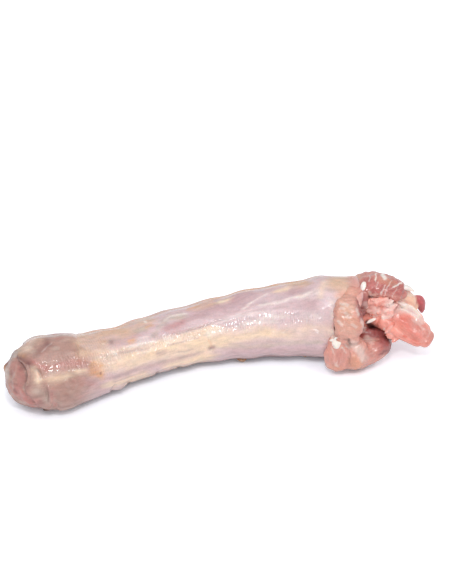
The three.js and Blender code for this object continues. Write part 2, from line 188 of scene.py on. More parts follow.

# Tissues of the sleeve and the knob, with painted highlights and painted shade among them, as they show from
# the front
# and above, in millimetres: half width and strength of a soft stroke, then its points, each to the right of
# the origin and above it in that view.
SLEEVE_MARKS = {
    "lean": [
        (4, 0.9, (-17.9, 27.9), (-8.6, 32), (5.9, 37.8), (17.5, 41.8), (27.4, 43.6)),
        (2.6, 0.9, (37.2, 43.6), (48.3, 44.7), (55.2, 45.3)),
        (3, 0.9, (-27, 22), (-22.5, 23.8), (-18.4, 26.2)), (4, 0.5, (-58, 13), (-46, 18), (-34, 20)),
        (2.4, 0.6, (-5.7, 26.7), (5.9, 31.4), (14.6, 33.7), (21.6, 37.2)),
        (3.2, 0.5, (39.5, 36), (52.3, 37.2), (64, 37.8)),
        (3.1, 0.5, (4.2, 9.3), (20.4, 9.5), (40.7, 9.6), (64, 9.6)), (1.3, 0.4, *LOWER_SEAM),
        (0.7, 0.45, *FAT_SEAM), (2, 0.8, (-57.3, 15.7), (-51.5, 16.3), (-46.3, 17.5)),
        (1.3, 0.6, (-50.3, 18.6), (-41.6, 19.2)), (1.3, 0.8, (-61, 15.6), (-60, 15.2)),
        (0.5, 0.6, *UPPER_SEAM), (1.5, 0.6, (-32.9, 8.8), (-29.5, 9.3)),
    ],
    "seam": [
        (1.3, 0.5, (-64, -6), (-56.5, -4.5), (-47.3, -1.6), (-40, 0.3), (-31.8, 3.2), (-25.4, 4.5),
         (-17, 7), (-6.3, 9.3)), (0.6, 0.5, (-60, -8.2), (-47, -4.2), (-36, -0.8)),
        (2.6, 0.15, (-62, 6.2), (-49, 8.4)), (0.9, 0.45, *FAT_SEAM), (0.6, 0.5, *UPPER_SEAM),
        (1.6, 0.6, (-32.9, 8.8), (-29.5, 9.3)), (1.1, 0.8, (-2.8, 11.7), (-0.8, 11.9)),
        (1.3, 0.7, (-61, 15.6), (-60, 15.2)), (1.2, 0.6, (-35.2, 19), (-33.8, 19.4)),
        (0.5, 0.4, (-22, 9), (-12, 11)), (0.5, 0.35, (4, 13.6), (20, 14), (40, 15.8)),
        (0.6, 0.35, (6, 30), (18, 33), (30, 34.5), (44, 35.6)),
        (0.5, 0.4, (-28, 13), (-16, 16), (-8, 18)),
    ],
    "raw": [
        (2, 0.6, (-108.3, 4.7), (-105, 3.5), (-102.5, 1.2)), (2, 0.5, (84, 41), (86, 37)),
        (2, 0.5, (-100, 1.2), (-90, 1.8), (-79.3, 3.5), (-76, 2.4)),
        (1.6, 0.5, (-100, 0.6), (-97.5, -1.5)), (3.5, 0.45, (-81, 4), (-75, 3.5)),
        (2.4, 0.35, (-27, 22.5), (-18, 26.5)),
        (2, 0.85, (-96.2, -12), (-95, -16.8), (-93.3, -20.8), (-91.5, -23)),
        (3.2, 0.9, (-110, -17.2), (-106.6, -20.2), (-103, -21.4)),
        (4.2, 0.6, (-115.5, 2.4), (-113, -2.3), (-112, -6.7), (-112.7, -12.5)),
        (2.6, 0.85, (-116.5, -12), (-113, -14.4)), (3, 0.25, (-77, -7), (-66, -11)),
    ],
    "film": [
        (1.7, 0.9, (-49.8, 21.5), (-45, 22.1), (-40.5, 22.7), (-37.6, 24.4)),
        (1.9, 0.7, (-35.3, 20.4), (-33, 23.8), (-30, 26.3), (-26.6, 29), (-15.5, 30.5)),
        (1.6, 0.7, (-35.4, 19), (-33.6, 19.4)), (1.9, 0.25, (-65.4, 4), (-62, 5.9), (-58.5, 7.6)),
        (1.2, 0.6, (-0.5, 12.2), (20.4, 12.5), (43.6, 14.6), (64.5, 15)),
        (1.8, 0.45, (-67.7, -11), (-49.2, -7), (-31.8, -2.8), (-11.5, 1.2)),
        (1.3, 0.8, (-107.2, 1.2), (-107.8, -2.8), (-107.8, -8.6)),
        (2.8, 0.6, (-105.4, -13.3), (-99, -14.4), (-98, -18)),
        (1.7, 0.7, (-120.4, 2.4), (-120.6, -3.4), (-119.4, -8)),
        (2.4, 0.85, (-118.8, 6.4), (-114.7, 9.9)), (1.2, 0.9, (-2.6, 11.7), (-1.6, 11.7)),
    ],
    "skin": [
        (5.5, 0.85, (-77, 17.5), (-69.5, 17.5), (-64.3, 19.2), (-52, 21)),
        (4.5, 0.75, (-76, 9.3), (-69.5, 8.2), (-65, 10.5)),
        (2.6, 0.8, (-50.3, 25), (-40.5, 27.3), (-33, 27.9)),
        (1.8, 0.6, (-14.4, 33), (-5.7, 36), (2, 38.3)),
        (1.8, 0.9, (39.6, 48.5), (48.3, 48.8), (57, 49.4)),
        (4, 0.95, (69.7, 50.5), (74, 47.6), (75.5, 43)), (4, 0.95, (72, 53), (76.5, 51.5)),
        (4.5, 0.85, (71, 48), (76, 43)),
        (2.8, 0.6, (-110.7, 9.3), (-108.3, 13.4), (-105, 16.3), (-98.5, 18.3)),
        (2.2, 0.4, (-109, 11), (-105, 15)), (0.9, 0.6, (-80, 19.8), (-78.8, 13.4), (-78.2, 7.6)),
        (2.4, 0.3, (37, 19.8), (42, 21)), (1.8, 0.5, (-100, -7), (-91, -5.7)),
    ],
    "flush": [
        (3.8, 0.9, (80, 53), (81.5, 49), (83, 38)), (3, 0.7, (77, 42), (79, 37)),
        (2.6, 0.75, (73.5, 43.4), (83, 42.4)),
    ],
    "fat": [
        (4.6, 0.9, (-65.7, 1.2), (-56, 4), (-47.4, 7), (-37.6, 9.3), (-26, 11.7), (-14.4, 13.4), (4, 14)),
        (2.8, 0.8, (-36, 13.4), (-27.7, 15.5), (-17.3, 18.6), (-5.4, 21.3), (5, 23)),
        (1.8, 0.55, (-71, 9.9), (-56.7, 9.6), (-46.3, 12.2), (-31.8, 14.6), (-23, 15.7)),
        (2.6, 0.5, (-68, 4.6), (-61, 6)),
        (4.4, 0.95, (-10, 16.8), (-1.6, 17.5), (11.7, 18), (26.2, 19.8), (42, 20.4)),
        (4.5, 0.55, (43, 20.4), (53, 22), (65, 21)),
        (2.4, 0.9, (-65, -10.6), (-57, -9), (-45, -5.4), (-36, -1.9)),
        (2.6, 0.95, (-31, 0.6), (-15, 3.6), (-5, 6.2), (3, 8)), (4, 0.8, (-13, 13.8), (6, 15.6)),
        (3.4, 0.6, (-58, -0.5), (-45, 3.5), (-30, 6.8), (-14, 9.5), (-2, 11.4)),
        (2.6, 0.75, (-64.5, -0.8), (-58, 0.6)), (1.5, 0.8, (0.3, 37.4), (5.3, 39), (11, 41)),
        (1.4, 0.75, (32, 43.8), (36, 44.7), (44, 47.5)), (2.4, 0.5, (64, 49), (62.2, 46), (61.6, 42.4)),
        (2, 0.95, (-105.2, -0.5), (-103.6, -4), (-102.5, -8)),
        (2.4, 0.6, (-100.2, -7), (-95.6, -7), (-91, -5.7), (-84, -3.4), (-76, -1.7)),
        (1.2, 0.8, (-80.5, -2), (-75.3, -1.4)),
    ],
    # sheen: white fascia lines, and painted highlights such as the bright streaks and the sparkling band on
    # the lit side
    "sheen": [
        (1.1, 0.65, *FAT_SHEEN), (1, 0.8, (-28.3, 16.6), (-24.8, 17.2)),
        (0.5, 0.6, (-29, 14.3), (-24.8, 14.6)), (1.8, 0.25, (-44.5, 15.7), (-38.7, 17.5)),
        (0.8, 0.6, (-59.6, 9.9), (-56.7, 8.2)), (1.6, 0.4, (-4, 20.4), (4.8, 21.5)),
        (1.7, 0.45, (12.3, 24.4), (21.6, 26.7), (35, 29.6), (46.5, 30.2)),
        (1.1, 0.35, (22.2, 26.2), (37.8, 27)),
        (2.2, 0.25, (-2.8, 25.6), (11.7, 29.6), (21.6, 32), (35, 32.5)),
        (0.6, 0.55, (14.6, 34), (24.3, 39.8), (31, 43.3)),
        (0.7, 0.6, (25, 36.3), (39.6, 38.6), (43.6, 40.2), (51.7, 41.8), (56.4, 43.6)),
        (2, 0.3, (49, 41), (60, 44)), (1.6, 0.6, (66.2, 40.7), (68.6, 36.6), (68.3, 30.8), (68.6, 25)),
        (1.8, 0.5, (68, 21.5), (69.5, 16.5)), (0.4, 0.4, (-94.4, 15), (-100.8, 8.8)),
        (0.6, 0.25, (-103.7, -6.9), (-100.8, -6.9)), (2.4, 0.35, (-109.5, 12), (-106, 15.5)),
        (0.6, 0.5, (-30, 26.7), (-26.6, 29.6), (-15.5, 31.4)), (0.7, 0.5, (-65.4, 14.3), (-64.6, 14.3)),
        (0.6, 0.6, (-40.6, 26.9), (-39.8, 26.9)), (2.5, 0.25, (47, 31), (64.5, 30)),
    ],
    "blood": [
        (2.8, 0.85, (-71.2, -1.7), (-67.7, -2.3), (-65.4, -3.4)), (2, 0.5, (-70, 3), (-65.4, 1.2)),
        (1.3, 0.8, (-49.2, 15.7), (-47, 16.3)), (1.4, 0.35, (-40.2, 23.3), (-37, 24.4)),
        (0.8, 0.6, (-16.7, 33.4), (-5.7, 38), (5.9, 42.4), (14.6, 44.4), (24.5, 46.6), (38.4, 48.5)),
        (1.2, 0.35, (-66.6, 21.5), (-58, 22.7), (-51, 24.4)), (1.8, 0.3, (-66, 15.6), (-65, 15.6)),
        (1.6, 0.25, (40, 48.6), (57, 49.4)), (1.1, 0.6, (-113, 7.6), (-110.7, 6.4)),
        (0.9, 0.3, (-4, 16.3), (-2.8, 12.8)),
    ],
    # shade: painted shade in the crease under the knob's lip, along the plug's edge and in folds, notches
    # and dents, with a few dark spots and a darker tone by the cut
    "shade": [
        (1.4, 1, (-113.2, 6.2), (-110.8, 4.3), (-108.8, 2.9)),
        (0.8, 0.5, (-109, 2.4), (-108.9, -2.3), (-109.2, -8), (-110, -13.3)),
        (2.2, 0.55, (-97.6, 16.6), (-96.8, 14.6)), (1.1, 0.7, (-121.4, 0), (-119.6, 4.6), (-114.6, 11)),
        (2, 0.35, (-97, 13.6), (-101.4, 9.9), (-103, 7.6)), (0.6, 0.9, (-96.2, 18.9), (-95.7, 18.9)),
        (1, 0.6, (-102.5, -19.7), (-100.6, -21)),
        (0.6, 0.6, (-97.2, -10.4), (-96.6, -15.6), (-97.2, -19.7)),
        (1.5, 0.3, (-86.3, -15.6), (-81.7, -18.5)), (0.6, 0.5, (-106, 1.2), (-102, -1.7), (-100.6, -4.9)),
        (1.3, 0.4, (-107.2, 1.8), (-107.8, -2.3), (-108.1, -8)),
        (0.5, 0.85, (-65.8, -2.8), (-65.3, -2.8)), (1.1, 0.3, (-2.6, 11.7), (-1.2, 11.9)),
        (1.2, 0.3, (-61, 15.5), (-60, 15.3)),
        (0.4, 0.15, (-23.7, 19.8), (-15.5, 21.8), (-6.8, 23.8), (-2.2, 26.3)),
        (0.9, 0.6, (-116, -12.7), (-115, -14)), (3.2, 0.14, (79.5, 51), (81.5, 47)),
    ],
}

# Folds of the sleeve in the same view: half width, height (below 0 for a groove), and points.
SLEEVE_FOLDS = [
    (0.7, -0.9, (-107.5, 2), (-106, 1.2), (-102, -1.7), (-100.6, -4.9)),
    (2, 0.7, (-113.6, 8.8), (-108.9, 5.9), (-104.3, 3), (-100, -1)),
    (1, 0.9, (-96.7, -10.4), (-95.6, -15.6), (-94.7, -18.5), (-96.2, -23)),
    (0.8, -0.8, (-98, -11.5), (-97.4, -16.2), (-97.8, -20)),
    (1.8, 0.5, (-105.4, -0.5), (-103.7, -4), (-102.5, -8)),
    (1.2, -0.6, (-107.2, 1.2), (-107.8, -2.8), (-107.8, -8.6)),
    (0.8, -0.4, (-23.7, 19.8), (-15.5, 21.8), (-6.8, 23.8), (-2.2, 26.3), (4.8, 28.2), (25, 34)),
    (1.3, -0.45, *LOWER_SEAM), (2.2, -0.3, (-96.5, -1.5), (-93, -1.5)), (0.8, -0.25, *FAT_SEAM),
    (1.6, 0.4, *FAT_SHEEN), (2.4, 0.5, (-63.7, -8), (-43.4, -2.8), (-33, 0.6), (-14.4, 4.7), (-5, 6.4)),
    (1, -0.4, (-80.5, 19.8), (-79.3, 13.4), (-78.7, 7)),
    (0.8, 0.3, (25, 36.3), (39.6, 38.6), (51.7, 41.8)), (0.9, -0.35, (26, 34.8), (40, 36.8), (52.5, 40)),
    (0.9, -0.5, (-3.6, 17.5), (-2.4, 11.5)), (1, 0.3, (14.6, 34), (24.3, 39.8), (31, 43.3)),
    (1.6, 0.15, (68, 36), (68.2, 26)), (1, -0.9, (-59.5, -13.5), (-58, -10)),
    (1, -0.8, (-50.3, -11), (-49, -7.5)), (1, -0.9, (-34.5, -6), (-33, -2.5)),
    (1, -0.8, (-21.8, -2.8), (-20.5, 0.6)), (1.6, 0.5, (-55, -12.5), (-54, -9.5)),
    (1.6, 0.5, (-28, -4.5), (-27, -1)),
]
# Gritty places of the sleeve, in the same form as its tissues.
GRIT = [
    (6.5, 1, (-76, 15), (-66, 15)), (5, 1, (-74, 4), (-64, 3)), (3, 1, (-70, -1), (-64, -4)),
    (2.4, 0.8, (-64, 4.5), (-58, 8)), (2, 0.8, (-41, 25), (-37, 25)), (2, 0.6, (42, 49), (57, 50)),
    (4, 0.5, (-100, 0.5), (-80, 2)),
]

# Lobes of cut muscle round the neck bone. width and thick are half sizes at the start, the middle and the
# end of the path. A lower blunt leaves the ends fuller, and a greater square the section's corners. wrinkles
# counts the folds across the path, crease is their depth, and calm the share of the path where they end.
# across turns the fibres, and lump scales the lumps. red and tan say how much of that tissue a lobe shows.
LOBES = [
    {"path": [(4.6, 7.5, 20.4), (4.3, 16.5, 18), (5.2, 21.5, 12), (7, 24.5, 4.5)],
     "width": (5.8, 8.6, 9.2), "thick": (3.8, 6.4, 6.5), "square": 2.5, "blunt": 0.32, "wrinkles": 10,
     "crease": 0.4, "calm": 0.6, "across": True, "red": 0.08, "tan": 0.3, "lump": 0.8},
    {"path": [(-4, 23.5, -12), (8, 22.5, -13), (22, 18, -13)], "width": (9, 9, 8), "thick": (6, 6, 6),
     "red": 0.2},
    {"path": [(-6, 3, 14), (6, 3, 18.4), (17, 1.5, 19)], "width": (10, 10.5, 10), "thick": (6, 6.6, 6.4),
     "red": 0.22, "tan": 0.2, "lump": 0.4},
    {"path": [(6, -4, 17.5), (22, -4.5, 20), (37, -3, 15.5)], "width": (10.5, 10.5, 10),
     "thick": (6.5, 6.5, 6.5), "blunt": 0.42, "square": 2.4, "red": 0.52, "across": True},
    {"path": [(13.5, 6, 19), (15.5, 7, 13)], "width": (3.2, 3.2, 3), "thick": (2.6, 2.6, 2.4),
     "red": 0.3},
    {"path": [(-0.5, 22, 5), (-1, 26, -8), (-1, 25.5, -18.5)], "width": (6.6, 7.3, 7.2),
     "thick": (6.5, 6.5, 6.5), "red": 0.12},
    {"path": [(9.5, 21, 2), (9.8, 24, -9), (9.5, 23.5, -18.5)], "width": (6.2, 6.4, 6),
     "thick": (6, 6.2, 6)},
    {"path": [(-2, 26, 5.5), (6.5, 26.5, 4.5)], "width": (2.6, 2.8, 2.4), "thick": (2.4, 2.6, 2.2)},
    {"path": [(-6, 14, -11), (16, 17, -11.5)], "width": (9, 9, 9), "thick": (8, 8, 8), "red": 0.5},
    {"path": [(8, 19, -12), (20, 17, -11.5), (29, 9, -10)], "width": (7.4, 7.6, 7.2),
     "thick": (7, 7, 6.5), "red": 0.12, "lump": 0.6},
    {"path": [(8, 10, -4), (22, 7, -8), (31.5, 4, -10.5)], "width": (7, 7, 6), "thick": (5, 5, 5),
     "red": 0.9},
    {"path": [(0, -4, -14), (24, -2, -12.5)], "width": (14, 14, 13), "thick": (7, 7, 6.5), "wrinkles": 4,
     "crease": 0.35, "red": 0.6},
    {"path": [(-4, -18.5, -4), (18, -16.5, -4)], "width": (13, 13, 12), "thick": (6.5, 6.5, 6),
     "wrinkles": 4, "crease": 0.35, "red": 0.35, "tan": 0.3},
    {"path": [(-2, -13.4, 9.4), (23, -12, 11.5)], "width": (11.6, 11.4, 10), "thick": (7.2, 6.8, 6),
     "wrinkles": 4, "crease": 0.35, "red": 0.55},
    {"path": [(2, 4, 11), (11, 5, 10.5), (16, 3, 9)], "width": (6, 6, 5.5), "thick": (6, 6, 5),
     "red": 0.5},
    {"path": [(-6, 8, 8), (9, 9.5, 6)], "width": (8, 8, 8), "thick": (7.5, 7.5, 7), "red": 0.9},
    {"path": [(-6, 9, -3), (9, 11, -3.5)], "width": (9, 9, 8), "thick": (7, 7, 6), "red": 0.9},
]

# Tissues of the cut, with painted glints and painted shade among them, as they show from the front and
# above, in
# millimetres: half width and strength of a soft stroke, then its points, each out of the cut and up in that
# view.
CUT_MARKS = {
    "red": [
        (5.2, 0.9, (16.5, 18.5), (22.3, 16.8), (29.2, 17.9), (35, 16.8)),
        (1.8, 0.6, (18.8, 18), (20, 15)), (3, 0.4, (33, 16.5), (36, 14.5)),
        (2, 0.5, (26.9, -12.2), (23.4, -20.4), (20, -26)), (1.1, 0.4, (-0.9, 8.6), (-2.7, -0.6)),
        (2.5, 0.3, (0.5, -21), (0, -27)), (3.4, 0.4, (10.5, 19.5), (16, 22)),
        (3.4, 0.55, (22, -17), (30, -14)), (4.5, 0.2, (4, -0.5), (12, -5.5)),
    ],
    "orange": [
        (4.2, 0.85, (9, -26), (10.7, -30)), (2.4, 0.5, (-5.6, -29.6), (3, -31.5)),
        (2, 0.45, (24.6, 21.5), (32, 19)), (2, 0.4, (4, 14), (9, 14.5)), (2.6, 0.35, (2, 4), (7, 5)),
        (3.2, 0.4, (4, 0), (11, -5)),
    ],
    "tan": [
        (3.6, 0.5, (1, 15.6), (5, 20), (9, 23.5)), (3.2, 0.5, (2, 7), (6, 3)),
        (2.6, 0.4, (3, -8), (8, -9)),
    ],
    # mauve: the darker inner walls of the cut, partly painted shade where they lie in the lobes' shade
    "mauve": [
        (2.6, 0.85, (13.5, 12), (15, 9.5)), (3.1, 1, (12, 8.5), (13, 3), (14.2, -1)),
        (4.6, 0.95, (18.8, -7), (24.6, -9.5), (31, -15)), (3, 0.9, (26, -13), (30, -17.5)),
        (1.7, 0.85, (22, -21.5), (28, -19.5), (33, -16.5)),
    ],
    # film: pale membrane, and painted glints on the pad and the lower lobes
    "film": [
        (2.8, 0.65, (7.8, -16.3), (11.8, -19.2), (13.6, -23.8)),
        (1.2, 0.9, (12.4, -1.2), (14.2, -5.3), (13.6, -9.3)), (1.8, 0.6, (15.5, -12.5), (18.8, -14)),
        (2, 0.35, (14.8, 6.9), (17.6, 3.5), (17, -0.6)), (0.8, 0.6, (10.3, 6.3), (10.9, -0.6)),
        (0.9, 0.6, (16.5, 15.6), (18.8, 12.3), (22.3, 13.3)), (1.4, 0.5, (3, 24), (9.5, 25.3)),
        (0.9, 0.7, (0.5, 7.8), (5, 6.6)), (0.7, 0.6, (0.3, 5), (3, 4.6)),
        (0.7, 0.6, (0.8, 2.8), (5.5, 1.7)), (0.8, 0.6, (1.4, 0.3), (7, 0)),
        (1, 0.7, (-0.6, -2.6), (1.6, -4.6)), (0.8, 0.6, (7, -4.4), (9.8, -5.6)),
        (0.7, 0.6, (-4.6, -17.5), (-3, -22)), (0.6, 0.6, (3, -15.5), (5.5, -18.5)),
        (0.6, 0.6, (1.5, -18), (3.5, -20.5)), (0.6, 0.55, (-1.5, -25.5), (-2.4, -28), (0, -29.2)),
        (1.3, 0.75, (-5.4, -9.6), (-3.2, -12.4)),
    ],
    "fat": [
        (0.45, 0.9, (20.9, 26), (20.9, 20.2)), (1.2, 0.95, (25, 24.4), (25.9, 22.4)),
        (0.5, 0.9, (30.4, 16.8), (33.9, 18.8), (37.4, 20.8)), (0.7, 0.7, (37.6, 20.2), (38.4, 16)),
        (0.3, 0.5, (17.6, 24.9), (17, 20.2)), (0.35, 0.5, (26.9, 19), (23.4, 12.1)),
        (0.35, 0.5, (30.4, 21.4), (26.9, 15.6), (25.7, 11.5)), (0.3, 0.45, (33.3, 16.8), (29.8, 11.5)),
        (0.3, 0.45, (22.8, 20.8), (21.1, 16.2)), (0.6, 0.5, (21, 11.6), (26, 10.6)),
    ],
    "strand": [
        (6, 0.3, (18, 18), (24, 17), (31, 18), (36, 17)), (4, 0.4, (0, -20), (0, -27)),
        (4, 0.45, (20, -14), (20, -20)), (4, 0.3, (5, 4), (6, -6)),
    ],
    # inside: painted shade in the cavity and in the dark gaps between the lobes and the bone
    "inside": [
        (1.8, 1, (17.3, -4.4), (20, -5.8)), (1, 0.45, (20.5, -6), (23, -7)),
        (0.7, 0.7, (15.8, 2.5), (16.2, -1.5)), (1.8, 0.62, (27, -11.8), (31.5, -15)),
        (0.7, 0.6, (5.2, -13.2), (6.2, -15)), (0.5, 0.25, (6, -20.4), (5.8, -28)),
        (0.6, 0.5, (10.3, 11), (11.2, 9.4)), (0.5, 0.3, (2, -13), (7, -13.6)),
        (0.9, 0.8, (17, 11.6), (19.5, 11.2), (22, 10)), (0.5, 0.4, (22.3, -22), (30.4, -18.5)),
    ],
}

# The bone's end: body, the large process with its ridge, the shoulder beside it, a scrap of muscle, and the
# scoop in the process. out says which way a lobe's thickness lies, and a hollow one is cut away.
BONES = [
    {"path": [(-4, 0, 0), (14, 0, 2.5), (34, 0, 5)], "width": (9, 9, 9), "thick": (8, 8.5, 9)},
    {"path": [(24, 4.5, 4.5), (40, 8.5, -0.3), (50.6, 11.9, -5.8)], "width": (7.8, 8.6, 8.2),
     "thick": (7, 6.5, 6.5), "blunt": 0.22, "square": 3.2, "out": (0, 0.75, 0.66)},
    {"path": [(32, 3.4, 14.6), (41, 4.6, 10.4), (49, 6.6, 4.4)], "width": (1.7, 1.8, 1.6),
     "thick": (3, 3.2, 2.6)},
    {"path": [(24, -6, 8), (36, -6, 8.5), (44.5, -5, 4)], "width": (7.5, 7.6, 7), "thick": (7, 7.2, 6.8)},
    {"path": [(46, -9, 8.2), (48.6, -9.4, 3.6), (49.2, -9, -2.4)], "width": (2, 2.4, 1.7),
     "thick": (2.6, 3, 2.2), "blunt": 0.3, "square": 2.6, "scrap": 1},
    {"path": [(42, -10, 3.5), (48, -10.5, 1.5)], "width": (2.8, 2.8, 2.2), "thick": (2.4, 2.4, 2),
     "scrap": 1},
    {"path": [(31, 9.2, 14.6), (41.5, 14.2, 7.8), (52, 18.6, 0.6)], "width": (8.5, 8.5, 8.5),
     "thick": (8.5, 8.5, 8.5), "blunt": 0.2, "hollow": True},
]
# Tissues of the bone in the same view and form as those of the cut, with a painted highlight and painted
# shade among them.
BONE_MARKS = {
    "marrow": [
        (1, 0.9, (37.6, -11.6), (38.6, -11.9)), (1.5, 0.6, (42, -13.4), (45.5, -15)),
        (3.2, 0.5, (32, 5.8), (37.5, -0.6)), (1.2, 0.35, (39.5, 9), (43.5, 5.4)),
        (1, 0.6, (34, 0.5), (42, -8), (47, -12)), (3.4, 0.42, (33, -1), (39, -6), (45, -10)),
        (1.4, 0.4, (24, 9), (30, 10)),
    ],
    # crest: white cartilage, partly a painted highlight along the ridge of the process
    "crest": [
        (1.7, 1, (35.4, 8.6), (39, 5.9), (43.2, 2.9), (47.2, -0.6)), (2.6, 0.7, (37, 6.4), (41, 4)),
        (2.2, 0.6, (43, 2.5), (48, -2)), (4, 0.4, (31, 8), (36, 5)), (2.4, 0.15, (29.5, 6), (33, 1)),
        (1.6, 0.9, (37.5, 5.8), (42.5, 2.6)), (2.6, 0.35, (33.5, 11.5), (36, 10.5)),
        (1.4, 0.4, (36, 13.6), (41.5, 12.8)), (2, 0.5, (27, 6.5), (31, 8.5)),
        (0.8, 0.3, (41, 0), (50, -8)), (1.4, 0.12, (52, -6), (53.5, -12)),
    ],
    # inside: painted shade in the cavity beside the bone
    "inside": [(1.6, 0.95, (16, -3.2), (19.2, -5.6)), (1, 0.45, (19.2, -5.6), (22.5, -7))],
    "peach": [(3.2, 0.9, (36.5, 12.5), (41, 11.5), (44, 6))],
    "dull": [
        (6, 0.8, (45, -6), (52, -11)), (3, 0.6, (38, -9), (47, -13.5)), (2, 0.4, (36, 2), (44, -7)),
    ],
}

# Ragged bits at the cut: how many gather round a line, how far they stray, where they point and by how
# much that varies, their radii, the line, and the ranges of how white and how red they are.
RAGGED_BONE = [
    {"count": 64, "stray": (2, 0.9, 2.4), "lean": (0, 0, 0), "reach": (1.5, 0.9, 1.4),
     "radius": (0.55, 1.4), "line": [(15, 6, 13.5), (20, 6.5, 11), (24, 8, 7)], "crest": (-0.3, 0.9),
     "marrow": (-0.3, 0.55), "seed": 61},
    {"count": 54, "stray": (1.6, 0.9, 1), "lean": (0, 0, 0), "reach": (1.8, 0.8, 0.8),
     "radius": (0.55, 1.3), "line": [(17.5, 7, 17), (23, 7, 16.6), (29.5, 6, 15.8)], "crest": (-0.4, 0.6),
     "marrow": (-0.3, 0.6), "seed": 64},
    {"count": 36, "stray": (0.9, 0.6, 0.9), "lean": (-2.4, 0.9, -0.7), "reach": (0.6, 0.5, 0.9),
     "radius": (0.7, 1.6), "line": [(29.5, 4.6, 13.2), (28, 9, 6.4), (30, 12.6, 0.3), (32.6, 14, -3.8)],
     "crest": (-0.4, 0.9), "marrow": (-0.4, 0.8), "seed": 63},
    {"count": 14, "stray": (0.8, 0.5, 0.8), "lean": (0, 0, 0), "reach": (1, 0.6, 0.9),
     "radius": (0.7, 1.5), "line": [(24.5, 6, 12.5), (27.5, 7, 10)], "crest": (-0.3, 0.7),
     "marrow": (-0.4, 0.6), "seed": 65},
]
RAGGED_FAT = {
    "count": 30,
    "stray": (0.9, 0.3, 0.9),
    "lean": (0, 0, 0),
    "reach": (1.1, 0.3, 1.2),
    "radius": (0.35, 0.85),
    "seed": 62,
    "line": [(-3.4, 28, 4.8), (-1.8, 29.2, 2.4), (-0.6, 29.8, 0.2)],
}

# White fat and tendon at the cut: small lumps that stick to the muscle.
SCRAPS = [
    {"path": [(14.3, 0.8, 26.6), (13.6, 3.2, 25.4), (13.2, 5.2, 23.8)], "width": (1.4, 1.7, 1.5),
     "thick": (0.9, 1, 0.9), "blunt": 0.35},
    {"path": [(36.5, -7, 17.6), (40.5, -6, 16.8), (44, -5.6, 15.2)], "width": (2.8, 2.6, 0.9),
     "thick": (1.4, 1.3, 0.8), "square": 3.5, "blunt": 0.3},
    {"path": [(35, -4, 18.4), (38.5, -4.6, 17.6)], "width": (1.6, 1.6, 1.2), "thick": (1, 1, 0.8)},
    {"path": [(15.5, 12.6, 5.1), (18.5, 11.4, 6.3), (21.5, 10.6, 7.2)], "width": (0.8, 1.1, 0.7),
     "thick": (0.7, 0.9, 0.6)},
]

# Loose tags of skin between the sleeve and the table.
TAGS = [
    {"path": [(13, -3.8, 3.4), (15.5, -2.6, 1.8), (19, -2.5, 1.7)], "width": (0.8, 1.2, 0.6),
     "thick": (0.6, 0.9, 0.5), "out": (0, 0, 1)},
    {"path": [(15.6, -4, 3.4), (17.2, -1.8, 1.2)], "width": (0.7, 0.7, 0.5), "thick": (0.7, 0.7, 0.5),
     "out": (0, 0, 1)},
    {"path": [(51.6, -2, 2.6), (53.4, -1, 1.5), (55.6, -1.2, 1.6)], "width": (0.6, 0.7, 0.4),
     "thick": (0.5, 0.6, 0.4), "out": (0, 0, 1)},
]

# The plug of muscle that domes out of the knob's end, and a small scab on it.
PLUG = [
    {"path": [(-8, 1.5, -0.5), (6.5, 0, -1)], "width": (19.8, 19.8, 19.8), "thick": (18.1, 18.1, 18.1),
     "blunt": 0},
    {"path": [(24.2, -0.8, 0), (24.3, -2.8, 2.2), (23.5, -4.6, 4.2)], "width": (1.2, 1.3, 1.1),
     "thick": (1.3, 1.5, 1.2), "blood": 0.7},
]
PLUG_PATCHES = {"raw": 0.6, "film": 0.5, "shade": 0.25}  # strength of the patches of each tissue

# Tissues in the order in which they are painted: colour, and how frayed the edge is.
# Sheen on the sleeve, film on the cut and crest on the bone are partly painted highlights; shade is mostly
# painted shade, and inside is painted shade.
SLEEVE_LAYERS = {
    "lean": ("mauve", 0.35), "knob": ("knob", 0.3), "raw": ("raw", 0.6), "film": ("film", 0.5),
    "skin": ("tan", 0.6), "flush": ("pink", 0.6), "fat": ("cream", 0.45), "sheen": ("fat", 0.7),
    "seam": ("seam", 0.5), "blood": ("blood", 0.9), "shade": ("shade", 0.4), "inside": ("cavity_shade", 0.2),
}
MUSCLE_LAYERS = {
    "red": ("red", 0.5), "orange": ("orange", 0.5), "tan": ("tan", 0.5), "mauve": ("wall", 0.4),
    "strand": ("membrane_and_glint", 0.0), "film": ("membrane_and_glint", 0.7), "fat": ("fat", 0.4), "shade": ("shade", 0.4),
    "inside": ("cavity_shade", 0.2),
}
BONE_LAYERS = {
    "dull": ("dull", 0.5), "marrow": ("marrow", 0.5), "peach": ("peach", 0.5), "crest": ("crest", 0.6),
    "scrap": ("scrap", 0.2), "inside": ("cavity_shade", 0.2),
}

# Noises of the materials: stretch along the grain, cells in a metre, and detail.
COARSE_FRAY = (0.3, 420.0, 2.0)
FINE_FRAY = (0.25, 1500.0, 2.0)
FIBRES = (0.1, 1300.0, 2.0)
CRINKLES = (1.0, 650.0, 3.0)
GRAINS = (1.0, 2200.0, 2.0)
HATCH_BEND = (1.0, 300.0, 2.0)
DRY_PATCHES = (1.0, 160.0, 3.0)
BROAD_MOTTLE = (0.35, 520.0, 4.0)
SPECKS = (1.0, 1300.0, 2.0)
STRANDS = (0.1, 1000.0, 2.0)
NOISE_ROUGHNESS = 0.55
HATCH_TURNS = 4600.0  # radians of the fine hatching in a metre
SINK_IN = {"Subsurface Weight": 0.22, "Subsurface Radius": (1.0, 0.45, 0.3), "Subsurface Scale": 0.0025}

